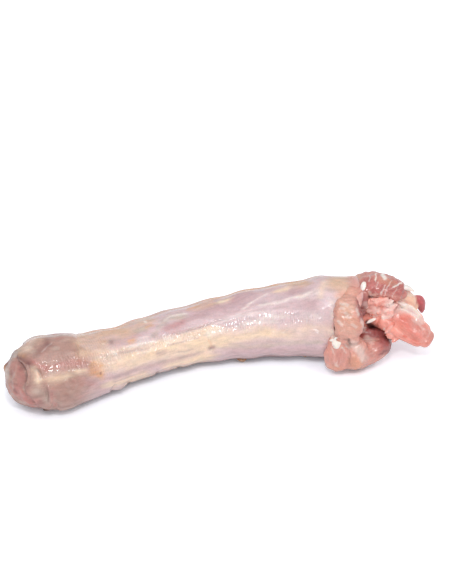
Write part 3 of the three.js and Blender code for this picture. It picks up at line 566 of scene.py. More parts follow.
# The lights by the name of their power: width and height, azimuth, elevation and distance.
LIGHTS = {
    "key": ((0.15, 0.1), -8, 58, 1.0), "top": ((1.4, 1.4), 0, 88, 1.4),
    "side": ((0.16, 0.16), 48, 50, 1.0), "front": ((0.1, 0.1), -22, 8, 1.0),
}
FLOOR_HALF = 3.0
FLOOR_GLOW = 0.4  # light of the floor where nothing is near, so that shadows stay pale
GLOW_COLOUR = (0.78, 0.88, 1, 1)
CONTACT_REACH = 4 * MM  # the floor has less of that light this near to the neck
CLIP_END = 20


def srgb(red, green, blue):
    """Linear colour of an 8-bit display colour."""
    display = np.array([red, green, blue]) / 255
    low = display / 12.92
    high = ((display + 0.055) / 1.055) ** 2.4
    return tuple(float(v) for v in np.where(display <= 0.04045, low, high))


def colour_property(name, description, *display):
    """A colour that a user may change, given as a display colour."""
    return bpy.props.FloatVectorProperty(
        name=name, description=description, subtype="COLOR", size=3, min=0, max=1,
        default=srgb(*display),
    )


def length_property(name, description, millimetres):
    """A length that a user may change."""
    return bpy.props.FloatProperty(
        name=name, description=description, unit="LENGTH", min=0, precision=5,
        default=millimetres * MM,
    )


def angle_property(name, description, degrees):
    """An angle that a user may change."""
    return bpy.props.FloatProperty(
        name=name, description=description, subtype="ANGLE", default=math.radians(degrees))


def power_property(name, description, watts):
    """The power of a light that a user may change."""
    return bpy.props.FloatProperty(name=name, description=description, unit="POWER", min=0, default=watts)


class NeckSizes(bpy.types.PropertyGroup):
    """Heights of the relief on the flesh and the bone."""

    cord: length_property("Cord height", "Height of the long cords of muscle", 1.0)
    knuckle: length_property("Knuckle height", "Swelling of the sleeve at each neck bone", 0.35)
    groove: length_property("Groove depth", "Depth of the furrows between the cords", 0.9)
    fold: length_property("Fold depth", "Depth of the folds at the knob", 1.7)
    flare: length_property("Flare", "How far the top of the sleeve swells out at the cut", 4.6)
    lump: length_property("Lump height", "Height of the uneven lumps of the sleeve", 0.55)
    ripple: length_property("Ripple height", "Height of the fine ripples across the sleeve", 0.11)
    grit: length_property("Grit height", "Height of the grit on the tan skin", 0.22)
    wrinkle: length_property("Wrinkle depth", "Depth of the folds across the cut muscle", 1.2)
    muscle_lump: length_property("Muscle lumps", "Height of the uneven lumps of the cut muscle", 1.2)
    bone_lump: length_property("Bone lumps", "Height of the uneven lumps of the bone", 0.5)


class NeckColours(bpy.types.PropertyGroup):
    """Colours of the tissues and the stage."""

    lilac: colour_property("Fascia", "Thin fascia over pale muscle", 215, 187, 191)
    mauve: colour_property("Muscle under fascia", "Muscle that shows through the fascia", 199, 162, 166)
    cream: colour_property("Fat", "Cream fat under the fascia", 245, 217, 189)
    tan: colour_property("Tan skin", "Dried tan skin along the upper edge", 217, 180, 155)
    seam: colour_property("Seam", "Grey-mauve lines between the cords", 186, 158, 158)
    film: colour_property("Grey film", "Grey film between the cords", 198, 180, 166)
    blood: colour_property("Stain", "Orange-brown stains", 223, 161, 106)
    knob: colour_property("Knob", "Muscle of the knob under its fascia", 181, 141, 130)
    raw: colour_property("Raw plug", "Raw flesh in the knob's end", 194, 126, 120)
    # painted shade in creases, folds, notches, between lobes and near the table, and darker patches at
    # random
    shade: colour_property("Crease", "Dark flesh in creases", 120, 72, 70)
    pink: colour_property("Cut muscle", "Pale cut muscle", 226, 159, 144)
    red: colour_property("Red muscle", "Darker cut muscle", 184, 91, 87)
    orange: colour_property("Orange muscle", "Orange cut muscle", 228, 158, 128)
    # partly painted shade: the darker mauve of the inner walls of the cut
    wall: colour_property("Inner wall", "Mauve walls inside the cut", 161, 86, 84)
    # pale membrane and strands, and painted glints on the cut muscle
    membrane_and_glint: colour_property("Membrane", "Pale membrane on the cut muscle", 238, 212, 202)
    # painted shade: the dark colour put deep in the cut and on the inner faces there
    cavity_shade: colour_property("Cavity", "Dark flesh inside the cut", 58, 16, 18)
    # also the colour of the sleeve's sheen: white fascia lines and painted highlights
    fat: colour_property("White fat", "White fat and tendon", 250, 238, 230)
    bone: colour_property("Bone", "Pink bone", 247, 162, 146)
    dull: colour_property("Dull bone", "Dull pink bone towards the tip", 213, 141, 130)
    marrow: colour_property("Marrow", "Redder places on the bone", 222, 116, 101)
    # white cartilage, and partly a painted highlight along the bone's ridge
    crest: colour_property("Cartilage", "White cartilage on the bone", 252, 238, 230)
    peach: colour_property("Bone fat", "Peach fat on the bone's shoulder", 255, 208, 180)
    scrap: colour_property("Scrap", "Purple scrap beside the bone", 198, 97, 102)
    floor: colour_property("Floor", "Pale floor", 247, 246, 248)


class NeckView(bpy.types.PropertyGroup):
    """The camera and the lights."""

    azimuth: angle_property("Azimuth", "Camera's turn round the neck", SEEN_TURN)
    elevation: angle_property("Elevation", "Camera's height over the horizon", SEEN_FROM)
    distance: length_property("Distance", "Camera's distance from the neck", SEEN_DISTANCE)
    height: length_property("Picture height", "Height of the picture at the neck", 338.7)
    right: length_property("Aim right", "How far right of the neck's middle the camera looks", SEEN_AIM[0])
    above: length_property("Aim above", "How far above the neck's middle the camera looks", SEEN_AIM[1])
    key: power_property("Key light", "Power of the soft light over the camera", 2.4)
    top: power_property("Top light", "Power of the large light overhead", 6.2)
    side: power_property("Side light", "Power of the small light beside the cut", 0.8)
    front: power_property("Front light", "Power of the small low light in front", 0.5)
    world: bpy.props.FloatProperty(
        name="Fill light", description="Strength of the even light all round", min=0, default=0.56)


def smooth(low, high, value):
    """Smooth step: 0 at low, 1 at high, with an even slope between. low may be the greater one."""
    share = np.clip((value - low) / (high - low), 0, 1)
    return share * share * (3 - 2 * share)


def window(value, rise, fall):
    """1 between two slopes and 0 outside them: a smooth step up over rise times one down over fall."""
    return smooth(*rise, value) * (1 - smooth(*fall, value))


def bell(value, power=SOFT):
    """Bell curve: exp of minus a power of the value. A greater power makes its top flatter."""
    return np.exp(-(value ** power))


def wave(turn, height, count, phase):
    """A sine with so many waves round the sleeve."""
    return height * np.sin(np.radians(count * turn + phase))


def through(knots, values, at):
    """Smooth curve through the values at the knots: a cubic on each stretch, with the slope at a
    knot taken from its two neighbours."""
    knots = np.asarray(knots, float)
    values = np.asarray(values, float)
    slopes = np.gradient(values, knots, axis=0)
    at = np.clip(at, knots[0], knots[-1])
    left = np.clip(np.searchsorted(knots, at, side="right") - 1, 0, len(knots) - 2)
    span = knots[left + 1] - knots[left]
    t = (at - knots[left]) / span
    if values.ndim > 1:
        t, span = t[..., None], span[..., None]
    return (
        (1 + 2 * t) * (1 - t) ** 2 * values[left]
        + t * (1 - t) ** 2 * span * slopes[left]
        + t * t * (3 - 2 * t) * values[left + 1]
        + t * t * (t - 1) * span * slopes[left + 1]
    )


def noise(points, cell, seed):
    """Smooth random heights between about -1 and 1: on a lattice of that cell, each corner has a
    random slope, and the eight slopes round a point are blended."""
    rng = np.random.default_rng(seed)
    slopes = rng.normal(size=(256, 3))
    slopes /= np.linalg.norm(slopes, axis=1, keepdims=True)
    order = rng.permutation(256)
    spot = points / np.asarray(cell, float)
    base = np.floor(spot).astype(int)
    part = spot - base
    ease = part ** 3 * (part * (part * 6 - 15) + 10)
    total = np.zeros(points.shape[:-1])
    for corner in np.ndindex(2, 2, 2):
        step = np.array(corner)
        lattice = (base + step) & 255
        key = order[(order[lattice[..., 0]] + lattice[..., 1]) & 255]
        key = order[(key + lattice[..., 2]) & 255]
        weight = np.prod(np.where(step == 1, ease, 1 - ease), axis=-1)
        total += weight * np.sum(slopes[key] * (part - step), axis=-1)
    return 1.7 * total


def rough(points, *rows):
    """Sum of noises, each given by its height, its cell and its seed."""
    return sum(height * noise(points, cell, seed) for height, cell, seed in rows)


def away(turn, middle):
    """Difference of two angles in degrees, between -180 and 180."""
    return (turn - middle + 180) % 360 - 180


def row_normals(rows):
    """Outward directions of a grid of points whose columns close on themselves: the cross product
    of the steps along the rows and round the columns."""
    along = np.gradient(rows, axis=0)
    around = np.roll(rows, -1, axis=1) - np.roll(rows, 1, axis=1)
    normal = np.cross(along, around)
    return normal / np.maximum(np.linalg.norm(normal, axis=-1, keepdims=True), 1e-9)


def rest_on_table(rows):
    """Presses what is below the table flat: z becomes the smooth greater of itself and 0."""
    pressed = rows.copy()
    z = rows[..., 2]
    pressed[..., 2] = (z + np.sqrt(z * z + PRESS * PRESS)) / 2
    return pressed


def mesh_piece(name, points, faces, values, grain):
    """A smooth mesh of points in millimetres. values holds one number for each point under a name, and
    grain the point's straightened place, for fibres that follow the flesh."""
    mesh = bpy.data.meshes.new(name)
    mesh.from_pydata((points * MM).tolist(), [], faces)
    mesh.shade_smooth()
    for key, value in values.items():
        layer = mesh.attributes.new(key, "FLOAT", "POINT")
        layer.data.foreach_set("value", value.astype(np.float32))
    layer = mesh.attributes.new("grain", "FLOAT_VECTOR", "POINT")
    layer.data.foreach_set("vector", (grain * MM).astype(np.float32).ravel())
    piece = bpy.data.objects.new(name, mesh)
    bpy.context.scene.collection.objects.link(piece)
    return piece


def closed_piece(name, rows, values, grain):
    """A closed mesh of rings, each joined to the next by four-sided faces, with a pole at each end."""
    count, columns = rows.shape[:2]
    here = np.arange(count * columns).reshape(count, columns)
    after = np.roll(here, -1, axis=1)
    quads = np.stack([here[:-1], here[1:], after[1:], after[:-1]], axis=-1).reshape(-1, 4)
    pole = np.full(columns, count * columns)
    start = np.stack([pole, here[0], after[0]], axis=-1)
    end = np.stack([pole + 1, after[-1], here[-1]], axis=-1)

    def with_poles(grid):
        flat = grid.reshape(-1, *grid.shape[2:])
        return np.concatenate([flat, [grid[0].mean(axis=0)], [grid[-1].mean(axis=0)]])

    values = {key: with_poles(value) for key, value in values.items()}
    faces = quads.tolist() + start.tolist() + end.tolist()
    return mesh_piece(name, with_poles(rows), faces, values, with_poles(grain))


def dress(piece, material, node):
    """Gives a piece its material, and its place in the frame."""
    piece.data.materials.append(material)
    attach(piece, BODY)
    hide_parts(node)
    return piece


def view_directions(azimuth, elevation):
    """Right, up and back of a view from that side and height."""
    right = np.array([math.cos(azimuth), math.sin(azimuth), 0])
    back = np.array([
        math.sin(azimuth) * math.cos(elevation),
        -math.cos(azimuth) * math.cos(elevation),
        math.sin(elevation),
    ])
    return right, np.cross(back, right), back


def seen_place(points, normals, middle):
    """Where points show in the photo's view, to the right of a place in it and above it, and how much
    each faces that way. What is nearer to the lens shows larger."""
    right, above, back = view_directions(math.radians(SEEN_TURN), math.radians(SEEN_FROM))
    aim = np.array(MIDDLE) + SEEN_AIM[0] * right + SEEN_AIM[1] * above
    gap = points - aim
    nearer = SEEN_DISTANCE / (SEEN_DISTANCE - gap @ back)
    seen = np.stack([gap @ right, gap @ above], axis=-1) * nearer[..., None]
    return seen + [aim @ right, aim @ above] - np.array(middle), smooth(*FACING, normals @ back)


def beside(seen, line):
    """Distance of points from a broken line, the least over its stretches, how far the nearest place of the
    line is from its nearer end, and the line's length."""
    line = np.array(line, float)
    lengths = np.linalg.norm(np.diff(line, axis=0), axis=1)
    before = np.concatenate([[0], np.cumsum(lengths)])
    nearest = np.full(seen.shape[:-1], np.inf)
    along = np.zeros(seen.shape[:-1])
    for start, stop, length, done in zip(line[:-1], line[1:], lengths, before):
        step = (stop - start) / length
        run = np.clip((seen - start) @ step, 0, length)
        gap = np.linalg.norm(seen - start - run[..., None] * step, axis=-1)
        along = np.where(gap < nearest, done + run, along)
        nearest = np.minimum(nearest, gap)
    return nearest, np.minimum(along, before[-1] - along), before[-1]


def strokes(points, normals, middle, rows, wander, edge, fade=1.0):
    """Share of a tissue from soft strokes: in the photo's view, each stroke is a bell round its line, on
    what faces that way. wander moves its edge, a greater power edge makes the bell's top flatter, and
    fade thins it. A long stroke grows narrower and thinner towards its ends."""
    seen, facing = seen_place(points, normals, middle)
    seen = seen + wander
    left = np.ones(seen.shape[:-1])
    for half_width, strength, *line in rows:
        gap, from_end, length = beside(seen, line)
        full = 1.0 if length < LONG_STROKE * half_width else smooth(0, END_RUN * half_width, from_end)
        width = half_width * (END_WIDTH + (1 - END_WIDTH) * full)
        strength = np.clip(strength * fade, 0, 1) * (END_STRENGTH + (1 - END_STRENGTH) * full)
        left = left * (1 - strength * facing * bell(gap / width, edge))
    return 1 - left


def stroke_heights(points, normals, middle, rows):
    """Height of folds: in the photo's view, a bell curve round each line, on what faces that way."""
    seen, facing = seen_place(points, normals, middle)
    height = np.zeros(seen.shape[:-1])
    for half_width, rise, *line in rows:
        height = height + rise * facing * bell(beside(seen, line)[0] / half_width)
    return height


def streak(x, turn, width, points):
    """A soft stripe along the sleeve: a bell curve round a line of (x, angle) points."""
    line = np.array(points, float)
    middle = through(line[:, 0], line[:, 1], x)
    rise, fall = [(end - STRIPE_FADE, end + STRIPE_FADE) for end in (line[0, 0], line[-1, 0])]
    return window(x, rise, fall) * bell(away(turn, middle) / width)


def axis_at(x):
    """Middle of the sleeve's section at x, and its direction towards the front."""
    knots = STATIONS[:, 0]
    heights = np.maximum(STATIONS[:, 2] * SECTION_HEIGHT * SINK, LOWEST_AXIS)
    y = through(knots, STATIONS[:, 1], x)
    z = through(knots, heights, x)
    lean = (through(knots, STATIONS[:, 1], x + 1) - through(knots, STATIONS[:, 1], x - 1)) / 2
    front = np.stack([lean, -np.ones_like(x), np.zeros_like(x)], axis=-1)
    front /= np.linalg.norm(front, axis=-1, keepdims=True)
    return np.stack([x, y, z], axis=-1), front


def sleeve_relief(x, turn, straight, sizes):
    """Height of the sleeve over its plain oval: a swelling at each neck bone, cords and furrows as bell
    curves round their lines, a flare at the cut, a step and a flap at the knob, noise drawn out lengthwise,
    and ripples across a band."""
    share = (x - STATIONS[0, 0]) / (STATIONS[-1, 0] - STATIONS[0, 0])
    height = sizes.knuckle * np.cos(2 * np.pi * x / KNUCKLE_PITCH)
    for start, stop, width, rise in CORDS:
        middle = start + (stop - start) * share
        height = height + sizes.cord * rise * bell(away(turn, middle) / width)
    for width, depth, line in FURROWS:
        height = height - sizes.groove * depth * streak(x, turn, width, line)
    height = height + sizes.flare * smooth(*FLARE_RUN, x) * bell(away(turn, FLARE_ANGLE) / FLARE_WIDTH)
    edge = KNOB_EDGE + wave(turn, 2.5, 2, 0) + rough(straight, KNOB_WOBBLE)
    step = (1 - smooth(-STEP_HALF_RUN, STEP_HALF_RUN, x - edge)) * window(turn, *STEP_ANGLES)
    height = height + sizes.groove * STEP_SHARE * step
    flap = window(x, *FLAP_RUN) * bell(away(turn, FLAP_ANGLE) / FLAP_WIDTH, CRISP)
    height = height + sizes.fold * FLAP_SHARE * flap
    height = height + sizes.lump * rough(straight, *SLEEVE_LUMPS)
    ripples = np.sin(2 * np.pi * (x / RIPPLE_PITCH + rough(straight, RIPPLE_WOBBLE)))
    height = height + sizes.ripple * streak(x, turn, RIPPLE_WIDTH, RIPPLED) * ripples
    return height / MM


def sleeve_paint(x, turn, straight, points, normals):
    """Share of each tissue at each point of the sleeve: stripes on the far side, strokes on the side that
    shows, among them painted highlights and painted shade, and the knob's own colour up to its edge, with
    patches on it."""
    swing = rough(straight, *STRIPE_SWING)
    drift = rough(straight, STRIPE_DRIFT)
    wander = np.stack([0.5 * drift, rough(straight, *STROKE_SWAY)], axis=-1)
    fade = 0.95 + rough(straight, STROKE_FADE)
    shares = {}
    for tissue, rows in SLEEVE_MARKS.items():
        left = np.ones_like(x)
        for width, strength, line in FAR_STRIPES.get(tissue, []):
            left = left * (1 - strength * streak(x + drift, turn + swing, width, line))
        shares[tissue] = 1 - left * (1 - strokes(points, normals, WHOLE_SEEN, rows, wander, SOFT, fade))
    edge = KNOB_EDGE + wave(turn, 1.5, 2, 0)
    blur = 1.4 + 9 * smooth(60, 40, turn) + 8 * smooth(100, 130, turn)
    shares["knob"] = 1 - smooth(edge - blur, edge + blur, x + 0.4 * drift)
    for tissue, patchy in KNOB_PATCHES.items():
        patches = 0.3 * smooth(0.1, 0.7, rough(straight, patchy))
        shares[tissue] = np.maximum(shares[tissue], patches * shares["knob"])
    return shares


def sleeve_grid():
    """x, angle and share of the radius at each row and column of the sleeve, and x on the plain outline. The
    rows are spread over the outline as it says, and the rim at the cut and the lip at the knob shift x."""
    outline = np.array(MERIDIAN, float)
    knots = np.arange(len(outline))
    total = np.cumsum(outline[:, 2])
    places = np.interp(np.arange(total[-1] + 1), total, knots)
    run = through(knots, outline[:, 0], places)[:, None]
    share = through(knots, outline[:, 1], places)[:, None]
    turn = np.linspace(-90, 270, SLEEVE_COLUMNS, endpoint=False)[None, :]
    depth, angle, width = RIM_DIP
    rim = RIM_REACH * window(turn, *RIM_ANGLES) - depth * bell(away(turn, angle) / width)
    rim = rim + sum(wave(turn, *row) for row in RIM_WAVES)
    lip = through(*np.array(KNOB_LIP, float).T, turn) - KNOB_TIP + wave(turn, *LIP_WAVE)
    x = run + smooth(*RIM_RUN, run) * rim + (1 - smooth(KNOB_TIP, KNOB_EDGE, run)) * lip
    return x, np.broadcast_to(turn, x.shape), share, run


def sleeve_rows(sizes):
    """The sleeve: its outline is carried along the neck's axis, and at each place an oval is drawn
    round the axis, as wide and high as the radius and the relief say."""
    x, turn, share, run = sleeve_grid()
    radius = through(STATIONS[:, 0], STATIONS[:, 2], x)
    angle = np.radians(turn)
    straight = np.stack([x, STRAIGHT_RADIUS * np.cos(angle), STRAIGHT_RADIUS * np.sin(angle)], axis=-1)
    centre, front = axis_at(x)

    def surface(reach):
        sideways = front * (reach * SECTION_WIDTH * np.cos(angle))[..., None]
        return centre + sideways + UP * (reach * SECTION_HEIGHT * np.sin(angle))[..., None]

    plain = surface(share * radius)
    normals = row_normals(plain)
    grit = strokes(plain, normals, WHOLE_SEEN, GRIT, 0, SOFT)
    folds = stroke_heights(plain, normals, WHOLE_SEEN, SLEEVE_FOLDS)
    relief = sleeve_relief(x, turn, straight, sizes) + folds
    relief = relief + sizes.grit / MM * grit * rough(straight, GRIT_BUMPS)
    rows = surface(share * (radius + relief))
    shares = sleeve_paint(x, turn, straight, rows, row_normals(rows))
    shares["grit"] = np.maximum(grit, 0.8 * streak(x, turn, RIPPLE_WIDTH, RIPPLED))
    # painted shade on the sleeve's inner face at the cut, in the cavity's dark colour
    shares["inside"] = np.broadcast_to(smooth(0.99, 0.9, share) * (run > 0), x.shape)
    # painted shade on the inner face of the knob's lip, in the gap round the plug
    crease = 0.45 * smooth(0.985, 0.85, share) * (run < 0)
    # painted shade low down, where the sleeve meets the table
    table_shade = TABLE_SHADE_DEPTH * smooth(TABLE_SHADE_FROM, TABLE_SHADE_TO, rows[..., 2])
    shares["shade"] = np.maximum(shares["shade"], np.maximum(crease, table_shade))
    return rest_on_table(rows), shares, straight


def place(end, points):
    """Points given in the local frame of an end, moved to their place in the neck."""
    heading = math.radians(end["heading"])
    outward = np.array([math.cos(heading), math.sin(heading), 0])
    forward = np.array([math.sin(heading), -math.cos(heading), 0])
    forward = -forward if forward[1] > 0 else forward
    points = np.asarray(points, float)
    local = points[..., :1] * outward + points[..., 1:2] * forward + points[..., 2:] * UP
    return np.array(end["origin"]) + local


def local_place(end, points):
    """Points in the local frame of an end: out of it, to the front, and up."""
    middle = place(end, [0, 0, 0])
    axes = np.stack([place(end, unit) - middle for unit in np.eye(3)], axis=1)
    return (points - middle) @ axes


def lobe_track(end, shape):
    """A lobe's spine: points at even steps on the smooth path, with the directions along it, across it
    and out of it, and the half width and half thickness there. Both ends are drawn in as a power of
    the half circle over the path. Out points away from the end's axis, or up for a lobe on the axis."""
    path = place(end, shape["path"])
    knots = np.concatenate([[0], np.cumsum(np.linalg.norm(np.diff(path, axis=0), axis=1))])
    length = knots[-1]
    at = np.linspace(0, length, TRACK_STEPS)
    centre = through(knots, path, at)
    along = np.gradient(centre, at, axis=0)
    along /= np.linalg.norm(along, axis=1, keepdims=True)
    axis = place(end, [1, 0, 0]) - place(end, [0, 0, 0])
    lift = centre[TRACK_STEPS // 2] - place(end, [0, 0, 0])
    lift = lift - axis * (lift @ axis)
    lift = UP if np.linalg.norm(lift) < NEAR_AXIS else lift
    lift = place(end, shape["out"]) - place(end, [0, 0, 0]) if "out" in shape else lift
    outward = lift - along * (along @ lift)[:, None]
    outward /= np.linalg.norm(outward, axis=1, keepdims=True)
    share = at / length
    taper = np.maximum(2 * np.sqrt(share * (1 - share)), TIP_SHARE) ** shape.get("blunt", BLUNT)
    return {
        "shape": shape, "length": length, "centre": centre, "along": along, "outward": outward,
        "across": np.cross(along, outward),
        "width": taper * through([0, 0.5, 1], shape["width"], share),
        "thick": taper * through([0, 0.5, 1], shape["thick"], share),
    }


def from_lobe(points, track):
    """Each point's distance from a lobe's surface, its share of the path, and its place across and out
    of the path. At the nearest step of the spine the lobe is an ellipse; with the point's place over
    the half sizes as p and over their squares as q, the distance is |p| (|p| - 1) / |q|."""
    centre = track["centre"]
    square = (points ** 2).sum(axis=1)[:, None] - 2 * points @ centre.T + (centre ** 2).sum(axis=1)
    near = np.argmin(square, axis=1)
    gap = points - centre[near]
    run, side, over = [(gap * track[key][near]).sum(axis=1) for key in ("along", "across", "outward")]
    last = len(centre) - 1
    share = np.clip(near / last + run / track["length"], 0, 1)
    past = np.where(near == 0, np.minimum(run, 0), 0) + np.where(near == last, np.maximum(run, 0), 0)
    steps = np.linspace(0, 1, len(centre))
    width = np.interp(share, steps, track["width"])
    thick = np.interp(share, steps, track["thick"])
    sizes = np.stack([width, thick, np.minimum(width, thick)], axis=1)
    spot = np.stack([side, over, past], axis=1)
    inner = np.linalg.norm(spot / sizes, ord=track["shape"].get("square", 2), axis=1)
    slope = np.linalg.norm(spot / sizes ** 2, axis=1)
    distance = inner * (inner - 1) / np.maximum(slope, 1e-6)
    return distance, share, side, over


def surface_net(field, low, step):
    """The surface where a field on a regular grid is zero. Each cell with corners of both signs gets a
    point, the mean of the crossings on its edges, and each grid edge with both signs joins the points
    of its four cells in a face that looks towards the greater value."""
    cells = tuple(n - 1 for n in field.shape)
    total = np.zeros((*cells, 3))
    count = np.zeros(cells)
    corner = np.stack(np.meshgrid(*(np.arange(n) for n in cells), indexing="ij"), axis=-1)
    edges = []
    for axis in range(3):
        first = np.take(field, range(field.shape[axis] - 1), axis=axis)
        second = np.take(field, range(1, field.shape[axis]), axis=axis)
        crossed = (first < 0) != (second < 0)
        share = np.where(crossed, first / np.where(crossed, first - second, 1), 0)
        edges.append((crossed, first < 0))
        others = [a for a in range(3) if a != axis]
        for shift in np.ndindex(2, 2):
            pane = [slice(None)] * 3
            point = corner.astype(float)
            for other, move in zip(others, shift):
                pane[other] = slice(move, move + cells[other])
                point[..., other] += move
            hit = crossed[tuple(pane)]
            point[..., axis] += share[tuple(pane)]
            total += np.where(hit[..., None], point, 0)
            count += hit
    active = count > 0
    index = np.full(cells, -1)
    index[active] = np.arange(active.sum())
    points = low + step * total[active] / count[active][:, None]
    faces = []
    for axis, (crossed, first_inside) in enumerate(edges):
        b, c = (axis + 1) % 3, (axis + 2) % 3
        pane = [slice(None)] * 3
        pane[b], pane[c] = slice(1, cells[b]), slice(1, cells[c])
        at = np.argwhere(crossed[tuple(pane)])
        at[:, b] += 1
        at[:, c] += 1
        outward = first_inside[tuple(at.T)]
        ring = []
        for move_b, move_c in ((-1, -1), (0, -1), (0, 0), (-1, 0)):
            near = at.copy()
            near[:, b] += move_b
            near[:, c] += move_c
            ring.append(index[tuple(near.T)])
        ring = np.stack(ring, axis=1)
        faces.append(np.where(outward[:, None], ring, ring[:, ::-1]))
    return points, np.concatenate(faces)


def point_normals(points, faces):
    """Outward directions at the points of a mesh: the sum of the cross products of its faces' diagonals."""
    a, b, c, d = points[faces.T]
    cross = np.cross(c - a, d - b)
    normal = np.zeros_like(points)
    for corner in range(4):
        np.add.at(normal, faces[:, corner], cross)
    return normal / np.maximum(np.linalg.norm(normal, axis=1, keepdims=True), 1e-12)


def relax(points, faces):
    """Evens a mesh: each point moves halfway to the mean of its neighbours' places, some times over."""
    for _ in range(RELAX_TIMES):
        total = np.zeros_like(points)
        count = np.zeros(len(points))
        for corner in range(4):
            np.add.at(total, faces[:, corner], points[faces[:, (corner + 1) % 4]])
            np.add.at(count, faces[:, corner], 1)
        points = 0.5 * points + 0.5 * total / np.maximum(count, 1)[:, None]
    return points


def fused_surface(tracks, soft, step):
    """One skin round many lobes. The field is the soft least distance, minus soft times the logarithm of
    the sum of exp(-distance / soft), and hollows are cut out of it by the soft greatest in the same way."""
    reach = FIELD_REACH * soft
    sizes = [np.maximum(track["width"], track["thick"])[:, None] for track in tracks]
    low = np.min([(t["centre"] - size).min(axis=0) for t, size in zip(tracks, sizes)], axis=0)
    high = np.max([(t["centre"] + size).max(axis=0) for t, size in zip(tracks, sizes)], axis=0)
    low, high = low - reach - 2 * step, high + reach + 2 * step
    counts = np.ceil((high - low) / step).astype(int) + 1
    solid = np.zeros(counts)
    hollow = np.zeros(counts)
    for track, size in zip(tracks, sizes):
        span = size + reach
        first = np.floor(((track["centre"] - span).min(axis=0) - low) / step).astype(int)
        last = np.ceil(((track["centre"] + span).max(axis=0) - low) / step).astype(int) + 1
        ranges = list(zip(np.maximum(first, 0), np.minimum(last, counts)))
        grid = np.stack(np.meshgrid(*(np.arange(a, b) for a, b in ranges), indexing="ij"), axis=-1)
        distance = from_lobe(low + step * grid.reshape(-1, 3), track)[0].reshape(grid.shape[:3])
        heap = hollow if track["shape"].get("hollow") else solid
        limit = FIELD_LIMIT * soft
        heap[tuple(slice(a, b) for a, b in ranges)] += np.exp(-np.clip(distance, -limit, limit) / soft)
    field = soft * np.log(1 / (solid + 1e-18) + hollow)
    points, faces = surface_net(field, low, step)
    return relax(points, faces), faces


def lobe_weights(points, tracks, soft):
    """Each lobe's say at each point, a falling exponential of its distance, and the points' places on
    the lobes: distance, share of the path, across and out."""
    found = [from_lobe(points, track) for track in tracks]
    gap = np.array([row[0] for row in found])
    weight = np.exp(-(gap - gap.min(axis=0)) / soft)
    return weight / weight.sum(axis=0), found


# Lobes grown together: points and faces, each lobe's say at each point, the lobes, the depth of the
# wrinkles, and the points' straightened places.
Flesh = namedtuple("Flesh", "points faces weight tracks fold grain")


def fused_flesh(end, shapes, soft, step, seed, lump, wrinkle=0):
    """Lobes grown together: their common skin, folded across each lobe's path by wrinkles with round
    crests and sharp valleys, and raised by noise."""
    tracks = [lobe_track(end, shape) for shape in shapes]
    points, faces = fused_surface(tracks, soft, step)
    solid = [track for track in tracks if not track["shape"].get("hollow")]
    weight, found = lobe_weights(points, solid, soft)
    warp = rough(points, (0.3, 7, seed), (0.12, 2.5, seed + 1))
    fold = np.zeros(len(points))
    grain = np.zeros_like(points)
    scale = np.zeros(len(points))
    for track, say, (_, share, side, over) in zip(solid, weight, found):
        shape = track["shape"]
        count = shape.get("wrinkles", 0)
        crest = np.abs(np.sin(np.pi * (count * share + warp))) ** 0.7 - 1 if count else 0
        calm = shape.get("calm", 2.0)
        fold += say * shape.get("crease", 1.0) * crest * smooth(calm + 0.2, calm - 0.1, share)
        scale += say * shape.get("lump", 1.0)
        run = share * track["length"]
        flow = (side - 0.5 * run, run + 0.5 * side, over) if shape.get("across") else (run, side, over)
        grain += say[:, None] * np.stack(flow, axis=1)
    lumps = rough(points, (0.7, 9, seed + 2), (0.45, 4.5, seed + 3))
    bundles = np.abs(noise(grain, (14, 4.2, 6), seed + 4))
    bundles = bundles + 0.5 * np.abs(noise(grain, (8, 2, 3), seed + 5))
    pits = rough(points, (0.2, 2.4, seed + 6))
    height = (lump * scale * (lumps + 0.5 * bundles - 0.2 + pits) + wrinkle * fold) / MM
    points = points + point_normals(points, faces) * height[:, None]
    return Flesh(rest_on_table(points), faces, weight, solid, fold, grain)


def ragged(kind):
    """Ragged bits gathered round a line: short lobes, each moved, turned and sized at random."""
    rng = np.random.default_rng(kind["seed"])
    line = np.array(kind["line"], float)
    count = kind["count"]
    middles = through(np.linspace(0, 1, len(line)), line, np.linspace(0, 1, count))
    middles = middles + rng.normal(0, 1, (count, 3)) * kind["stray"]
    reaches = kind["lean"] + rng.normal(0, 1, (count, 3)) * kind["reach"]
    radii = rng.uniform(*kind["radius"], count)
    white = rng.uniform(*kind.get("crest", (0, 1)), count)
    red = rng.uniform(*kind.get("marrow", (0, 1)), count)
    return [
        {"path": [middle - reach, middle + reach], "width": (radius,) * 3,
         "thick": (SHRED_FLATNESS * radius,) * 3, "crest": crest, "marrow": marrow}
        for middle, reach, radius, crest, marrow in zip(middles, reaches, radii, white, red)
    ]


def own_share(flesh, tissue):
    """How much of a tissue the lobes show at each point, blended by each lobe's say."""
    return flesh.weight.T @ np.array([track["shape"].get(tissue, 0.0) for track in flesh.tracks])


def stroke_shares(flesh, marks, middle, wander, edge):
    """Share of each tissue on fused lobes, from its strokes, whose edges wander."""
    normals = point_normals(flesh.points, flesh.faces)
    wander = np.stack(wander, axis=-1)
    return {
        tissue: strokes(flesh.points, normals, middle, rows, wander, edge)
        for tissue, rows in marks.items()
    }


def cut_shares(flesh, marks, seed):
    """Share of each tissue at the cut, from its strokes, whose edges wander by noise."""
    wander = [rough(flesh.points, (0.6, 3.5, seed + n), (0.3, 1.4, seed + 2 + n)) for n in (0, 1)]
    return stroke_shares(flesh, marks, CUT_SEEN, wander, CRISP)


